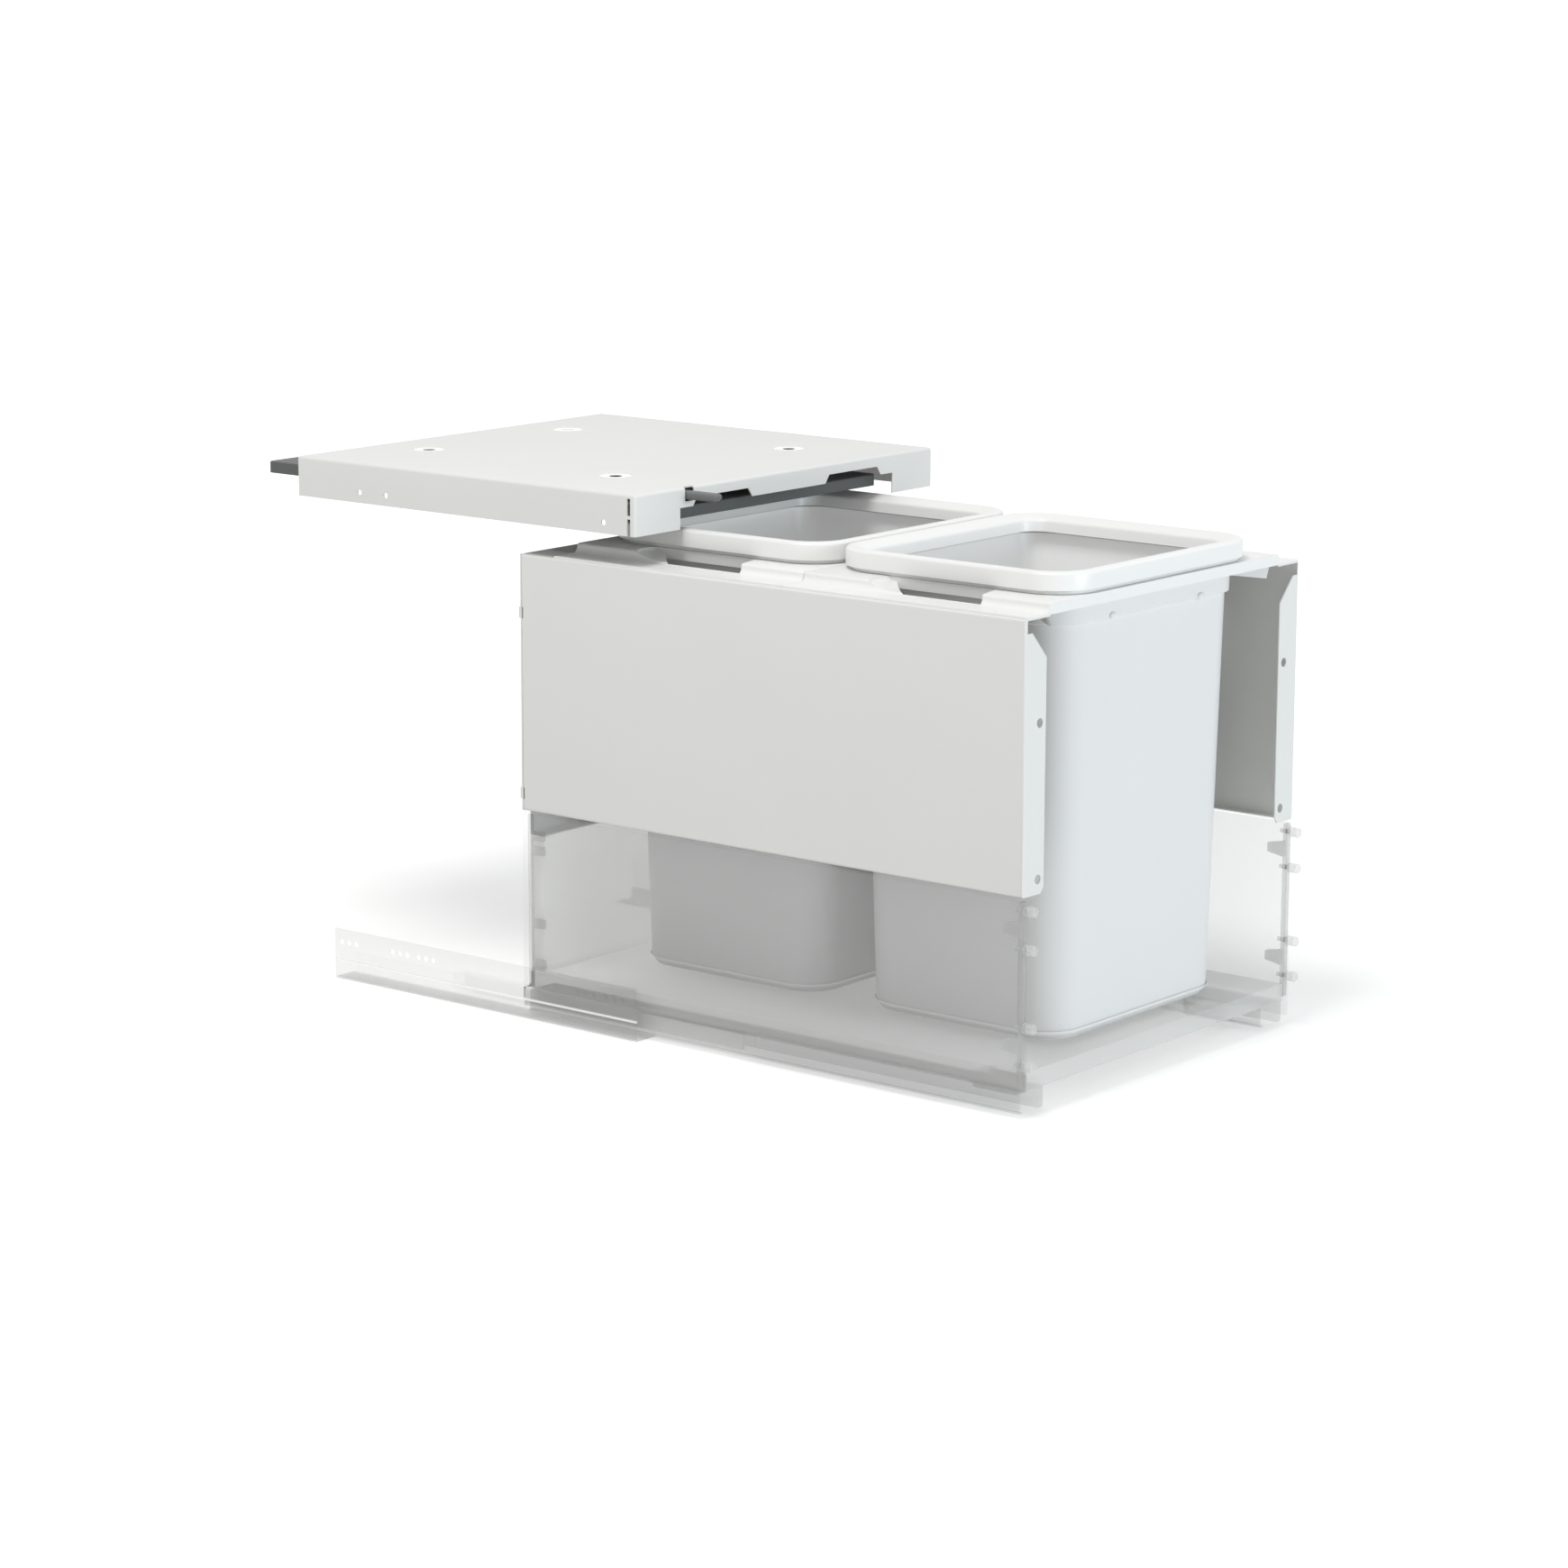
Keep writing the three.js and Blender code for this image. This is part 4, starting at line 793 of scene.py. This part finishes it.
# past and lap: how far a cutting tool reaches beyond the sheet or the cut before it
cover = {
    "sheet": 1.2 * mm, "bend": 2.5 * mm, "bendSegments": 5, "smoothAngle": 30,
    "flangeFront": 5 * mm, "flangeBack": 4.5 * mm, "past": 5 * mm, "lap": 2 * mm,
    "tabInner": 149.5 * mm, "stripInner": 133.8 * mm, "stripDrop": 17.3 * mm,
    "notchInner": 50 * mm, "notchDrop": 9.6 * mm, "notchSlope": 7 * mm,
    "slitStart": 5.5 * mm, "slitWidth": 3.5 * mm, "slitDrop": 1 * mm, "bridge": 3 * mm,
    "sideHoles": (35.7 * mm, 292.4 * mm, 324.6 * mm), "sideHoleHeight": 9.5 * mm,
    "sideHoleRadius": 2.5 * mm, "sidePast": 3 * mm,
    "dishes": ((121 * mm, 98 * mm), (95.5 * mm, 345.7 * mm)),
    "dishRadius": 16.5 * mm, "dishRim": 1 * mm, "dishFloor": 13 * mm, "dishHole": 6 * mm,
    "dishDepth": 0.9 * mm, "dishSheet": 0.5 * mm, "dishSides": 48, "dishPaintLap": 0.5 * mm,
    # shares of the slope's width and of the dish's depth, from the rim to the floor
    "dishSlope": ((0.2, 0.1), (0.6, 0.8), (0.2, 0.1)),
    "windowCentre": -137 * mm, "windowHalf": 6 * mm,
    "windowDepth": 12.3 * mm, "windowBack": 4 * mm, "windowPast": 1 * mm,
}
# painted highlight: the dish floors round the fixing holes glow near white
dishPaintedHighlight = variant("painted_steel", "dish", glow=0.30)


def coverDish(place, top):
    # pressed dish round a fixing hole
    bpy.ops.object.select_all(action="DESELECT")
    bpy.ops.mesh.primitive_circle_add(
        vertices=cover["dishSides"], radius=cover["dishRadius"] + cover["dishRim"],
        fill_type="NGON", location=(*place, top))
    dish = bpy.context.object
    applyPlace()
    edit(dish)
    bpy.ops.mesh.select_mode(type="FACE")
    bpy.ops.mesh.select_all(action="SELECT")
    bpy.ops.mesh.inset(thickness=cover["dishRim"])
    slope = cover["dishRadius"] - cover["dishFloor"]
    for share, drop in cover["dishSlope"]:
        bpy.ops.mesh.inset(thickness=slope * share)
        bpy.ops.transform.translate(value=(0, 0, -cover["dishDepth"] * drop))
    bpy.ops.mesh.inset(thickness=cover["dishFloor"] - cover["dishHole"])
    bpy.ops.mesh.delete(type="FACE")
    leave()
    applied(dish, "SOLIDIFY", thickness=cover["dishSheet"], offset=-1)
    return dish


def notchTool(ends, flange, strip, top):
    # narrows towards its top
    notch = startBlock(
        "notch", (ends[0], flange[0], strip - cover["lap"]), (ends[1], flange[1], top))
    edit(notch)
    pick("VERT", lambda v: near(v.co.z, top))
    width = ends[1] - ends[0]
    bpy.ops.transform.resize(
        value=((width - 2 * cover["notchSlope"]) / width, 1, 1),
        center_override=(sum(ends) / 2, 0, 0))
    leave()
    return notch


def modelCover():
    low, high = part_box("cover_pan")
    piece = startBlock("coverPan", low, high)
    edit(piece)
    pick("FACE", lambda f: f.normal.z < -square or f.normal.y > square)
    bpy.ops.mesh.delete(type="FACE")
    pick("EDGE", betweenFaces)
    bpy.ops.mesh.bevel(offset=cover["bend"], segments=cover["bendSegments"])
    leave()
    applied(piece, "SOLIDIFY", thickness=cover["sheet"], offset=-1)
    front = low.y
    flange = (front - cover["flangeFront"], front + cover["flangeBack"])
    strip = high.z - cover["stripDrop"]
    carve(piece, startBlock(
        "tabGap", (-cover["tabInner"], flange[0], low.z - cover["past"]),
        (cover["tabInner"], flange[1], strip)))
    places = []
    for sign in (-1, 1):
        ends = sorted((sign * cover["notchInner"], sign * cover["stripInner"]))
        carve(piece, notchTool(ends, flange, strip, high.z - cover["notchDrop"]))
        wall = sorted((
            sign * (high.x - cover["sidePast"]), sign * (high.x + cover["sidePast"])))
        slitFront, slitTop = front + cover["slitStart"], high.z - cover["bend"] - cover["slitDrop"]
        halfway = (low.z + slitTop) / 2
        for bottom, top in (
                (low.z - cover["lap"], halfway - cover["bridge"] / 2),
                (halfway + cover["bridge"] / 2, slitTop)):
            carve(piece, startBlock(
                "slit", (wall[0], slitFront, bottom),
                (wall[1], slitFront + cover["slitWidth"], top)))
        height = low.z + cover["sideHoleHeight"]
        for along in cover["sideHoles"]:
            carve(piece, startRod(
                "sideHole", cover["sideHoleRadius"],
                (wall[0], front + along, height), (wall[1], front + along, height)))
        for across, along in cover["dishes"]:
            place = (sign * across, front + along)
            carve(piece, startRod(
                "dishHole", cover["dishRadius"] + cover["dishRim"],
                (*place, high.z - cover["past"]), (*place, high.z + cover["past"]),
                cover["dishSides"]))
            places.append(place)
    carve(piece, startBlock(
        "window",
        (cover["windowCentre"] - cover["windowHalf"], flange[0],
         high.z - cover["windowDepth"]),
        (cover["windowCentre"] + cover["windowHalf"], front + cover["windowBack"],
         high.z + cover["windowPast"])))
    joined(piece, [coverDish(place, high.z) for place in places])
    settle(piece, "cover_pan", cover["smoothAngle"])
    # painted highlight on the dish floors
    reach = cover["dishFloor"] + cover["dishPaintLap"]
    paintFaces(piece, dishPaintedHighlight, lambda f: f.normal.z > leaning and any(
        (centreOf(f).xy - Vector(place)).length < reach for place in places))


modelCover()
print("cover pan modelled")

# lid

lid = {
    "cornerRadius": 6 * mm, "cornerSegments": 8, "edge": 1.2 * mm, "edgeSegments": 3,
    "rim": 2.5 * mm, "skin": 2.8 * mm,
    "ribs": 4, "ribHalf": 1 * mm, "ribHeight": 5 * mm,
}


def modelLid():
    low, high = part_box("lid_plate")
    piece = startBlock("lidPlate", low, high)
    edit(piece)
    pick("EDGE", lambda e: runs(e, "z"))
    bpy.ops.mesh.bevel(offset=lid["cornerRadius"], segments=lid["cornerSegments"])
    pick("FACE", lambda f: f.normal.z < -square)
    bpy.ops.mesh.inset(thickness=lid["rim"])
    drawUp(high.z - low.z - lid["skin"])
    pick("EDGE", lambda e: not runs(e, "z") and all(near(v.co.z, high.z) for v in e.verts))
    bpy.ops.mesh.bevel(offset=lid["edge"], segments=lid["edgeSegments"])
    leave()
    pitch = (high.y - low.y) / (lid["ribs"] + 1)
    for i in range(lid["ribs"]):
        along = low.y + pitch * (i + 1)
        carve(piece, startBlock(
            "rib",
            (low.x + lid["rim"] / 2, along - lid["ribHalf"],
             high.z - lid["skin"] - lid["ribHeight"]),
            (high.x - lid["rim"] / 2, along + lid["ribHalf"], high.z - lid["skin"] / 2)),
            "UNION")
    settle(piece, "lid_plate")


modelLid()
print("lid modelled")

# side panels

panel = {
    "sheet": 1.5 * mm, "bend": 2.4 * mm, "bendSegments": 6,
    "frontFlange": 29 * mm, "bottomFlange": 8.5 * mm, "frontGap": 12 * mm,
    "chamferRun": 20 * mm, "chamferRise": 22 * mm, "cornerCut": 5 * mm,
    "holeInset": 20.8 * mm, "holeHeights": (12.5 * mm, 141.4 * mm), "holeRadius": 4 * mm,
    "hookHeight": 10 * mm, "hookLevels": (15.4 * mm, 176.4 * mm), "hookLength": 3.7 * mm,
    # how far the cutting tools start ahead of the flange, end behind it and pass the edges
    "ahead": 2 * mm, "behind": 0.05 * mm, "past": 1 * mm, "lap": 0.1 * mm,
}


def modelSidePanels():
    low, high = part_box("side_panel_right")
    sheet, past, lap = panel["sheet"], panel["past"], panel["lap"]
    front, rear = low.y, high.y - panel["hookLength"]
    piece = startBlock("sidePanelRight", low, (high.x, rear, high.z))
    edit(piece)
    pick("FACE", lambda f: f.normal.x < -square or f.normal.y > square)
    bpy.ops.mesh.delete(type="FACE")
    pick("EDGE", lambda e: betweenFaces(e) and near(middle(e).x, high.x))
    bpy.ops.mesh.bevel(offset=panel["bend"], segments=panel["bendSegments"])
    leave()
    applied(piece, "SOLIDIFY", thickness=sheet, offset=-1)
    flangeInner, flangeTop = high.x - panel["frontFlange"], high.z - panel["frontGap"]
    before, behind = front - panel["ahead"], front + sheet + panel["behind"]
    carve(piece, startBlock(
        "overFlange", (low.x - past, before, flangeTop),
        (high.x - panel["bend"], behind, high.z - sheet)))
    carve(piece, startBlock(
        "besideFlange", (low.x - past, before, low.z - past),
        (flangeInner, behind, high.z - sheet)))
    chamfer = startBlock(
        "chamfer", (flangeInner - past, before, flangeTop - panel["chamferRise"]),
        (flangeInner + panel["chamferRun"], behind, flangeTop + lap))
    edit(chamfer)
    pick("VERT", lambda v: v.co.x > flangeInner and v.co.z < flangeTop - past)
    bpy.ops.transform.translate(value=(-panel["chamferRun"], 0, 0))
    leave()
    carve(piece, chamfer)
    corner = startBlock(
        "lowerCorner", (flangeInner - past, before, low.z - past),
        (flangeInner + panel["cornerCut"], behind, low.z + panel["cornerCut"]))
    edit(corner)
    pick("VERT", lambda v: v.co.x > flangeInner and v.co.z > low.z)
    bpy.ops.transform.translate(value=(-panel["cornerCut"], 0, 0))
    leave()
    carve(piece, corner)
    carve(piece, startBlock(
        "bottomTrim", (low.x - past, behind, low.z - past),
        (high.x - panel["bottomFlange"], rear + past, low.z + sheet + lap)))
    across = high.x - panel["holeInset"]
    for height in panel["holeHeights"]:
        carve(piece, startRod(
            "hole", panel["holeRadius"],
            (across, before, low.z + height), (across, behind, low.z + height)))
    joined(piece, [startBlock(
        "hook", (high.x - sheet, rear - past, low.z + level - panel["hookHeight"] / 2),
        (high.x, high.y, low.z + level + panel["hookHeight"] / 2))
        for level in panel["hookLevels"]])
    twin = mirroredCopy(piece, "sidePanelLeft")
    settle(piece, "side_panel_right")
    settle(twin, "side_panel_left")


modelSidePanels()
print("side panels modelled")

# runners: cabinet, middle and drawer rail on each side

track = {
    "sheet": 1.3 * mm, "ribTop": 19.3 * mm, "bend": 1.4 * mm, "bendSegments": 4,
    "crease": (17 * mm, 17.9 * mm), "creaseDepth": 0.4 * mm,
    "holeHeight": 34.9 * mm, "holeRadius": 2.6 * mm, "holeSides": 16, "holePitch": 9.1 * mm,
    "holeCentres": (25 * mm, 57.5 * mm, 249.7 * mm, 281.9 * mm, 345.9 * mm),
    "holeInside": 3 * mm, "holeOutside": 2 * mm,
    # where each finish ends, measured from the outer face or the bottom
    "ribFrom": 20 * mm, "footTop": 2 * mm, "footReach": 26 * mm,
    "creaseReach": 5 * mm, "creaseSlack": 0.9 * mm,
    "edge": 0.3 * mm, "innerEnd": 12 * mm, "capSlack": 0.2 * mm,
    "smoothAngle": 30,
}
# rail finishes: flange and rib only change how see-through they are; crease is a painted highlight,
# inner a painted glow, cap a painted shade
trackVeilsAndPaintedLight = {
    "crease": variant("ghost_steel", "crease", alpha=0.65, glow=0.5),
    "flange": variant("ghost_steel", "flange", alpha=0.26),
    "rib": variant("ghost_steel", "rib", alpha=0.015),
    "inner": variant("ghost_steel", "inner", alpha=1.0, glow=0.22),
    "cap": variant("ghost_steel", "cap", color=(0.42, 0.43, 0.43), alpha=0.55),
}


def modelCabinetRails():
    # upright web with its fixing holes, a foot, and the rib that the middle rail rides on
    low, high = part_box("cabinet_rail_right")
    piece = startBlock("cabinetRailRight", low, high)
    edit(piece)
    pick("FACE", lambda f: f.normal.z > square or abs(f.normal.y) > square)
    bpy.ops.mesh.delete(type="FACE")
    pick("VERT", lambda v: near(v.co.x, low.x) and near(v.co.z, high.z))
    bpy.ops.transform.translate(value=(0, 0, low.z + track["ribTop"] - high.z))
    pick("EDGE", betweenFaces)
    bpy.ops.mesh.bevel(offset=track["bend"], segments=track["bendSegments"])
    for level in track["crease"]:
        pick("FACE", lambda f: near(centreOf(f).x, high.x))
        bpy.ops.mesh.bisect(plane_co=(0, 0, low.z + level), plane_no=(0, 0, 1))
    creaseLevel = low.z + sum(track["crease"]) / 2
    pick("FACE", lambda f: near(centreOf(f).x, high.x) and near(centreOf(f).z, creaseLevel))
    bpy.ops.mesh.extrude_region_move(
        TRANSFORM_OT_translate={"value": (-track["creaseDepth"], 0, 0)})
    leave()
    applied(piece, "SOLIDIFY", thickness=track["sheet"], offset=-1)
    height = low.z + track["holeHeight"]
    for centre in track["holeCentres"]:
        for step in (-1, 0, 1):
            along = low.y + centre + step * track["holePitch"]
            carve(piece, startRod(
                "railHole", track["holeRadius"], (high.x - track["holeInside"], along, height),
                (high.x + track["holeOutside"], along, height), track["holeSides"]))
    twin = mirroredCopy(piece, "cabinetRailLeft")
    for rail, side in ((piece, "right"), (twin, "left")):
        settle(rail, f"cabinet_rail_{side}", track["smoothAngle"])
        paintFaces(rail, trackVeilsAndPaintedLight["rib"], lambda f: (
            abs(centreOf(f).x) < high.x - track["ribFrom"]))
        paintFaces(rail, trackVeilsAndPaintedLight["flange"], lambda f: (
            centreOf(f).z < low.z + track["footTop"]
            and abs(centreOf(f).x) > high.x - track["footReach"]))
        # painted highlight: a bright glowing strip along the crease
        paintFaces(rail, trackVeilsAndPaintedLight["crease"], lambda f: (
            near(centreOf(f).z, creaseLevel, track["creaseSlack"])
            and abs(centreOf(f).x) > high.x - track["creaseReach"]
            and abs(f.normal.y) < leaning))


def modelMiddleRail(side):
    # the stretch inside the drawer rail shows as one pale opaque bar, kept pale by a painted-light
    # glow
    piece = easedCopy(f"middle_rail_{side}", track["edge"])
    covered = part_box(f"drawer_rail_{side}")[1].y + track["innerEnd"]
    edit(piece)
    bpy.ops.mesh.select_all(action="SELECT")
    bpy.ops.mesh.bisect(plane_co=(0, covered, 0), plane_no=(0, 1, 0))
    leave()
    # painted light on the covered stretch
    paintFaces(piece, trackVeilsAndPaintedLight["inner"], lambda f: centreOf(f).y < covered)


def modelDrawerRail(side):
    # the cap under the floor board gets a darker, denser finish: painted shade under the board
    piece = easedCopy(f"drawer_rail_{side}", track["edge"])
    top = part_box(f"drawer_rail_{side}")[1].z
    paintFaces(piece, trackVeilsAndPaintedLight["cap"], lambda f: near(centreOf(f).z, top, track["capSlack"]))


# front brackets

bracket = {"edge": 0.5 * mm, "spine": 5.2 * mm}
spineFinish = variant("ghost_steel", "spine", alpha=0.10)


def modelFrontBracket(side):
    # the spine is fainter than its two catches
    piece = easedCopy(f"front_bracket_{side}", bracket["edge"])
    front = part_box(f"front_bracket_{side}")[0].y
    paintFaces(piece, spineFinish, lambda f: centreOf(f).y < front + bracket["spine"])


modelCabinetRails()
for side in ("left", "right"):
    modelMiddleRail(side)
    modelDrawerRail(side)
    modelFrontBracket(side)
print("runners and front brackets modelled")

# pieces that keep their CAD shape, with the width of their broken edges in mm

eased = {
    "rear_panel": 0.4,
    "drawer_floor": 0.8,
    "drawer_back": 0.8,
    "drawer_side_left": 0.5,
    "drawer_side_right": 0.5,
    "rear_bracket_left": 0.5,
    "rear_bracket_right": 0.5,
    "lock_housing_left": 0.5,
    "lock_housing_right": 0.5,
    "lock_lever_left": 0.4,
    "lock_lever_right": 0.4,
    "lid_trigger": 0.4,
    "lid_bracket_left": 0.3,
    "lid_bracket_right": 0.3,
    "trigger_guide": 0.3,
}
for node, width in eased.items():
    easedCopy(node, width * mm)
print("eased copies:", len(eased))
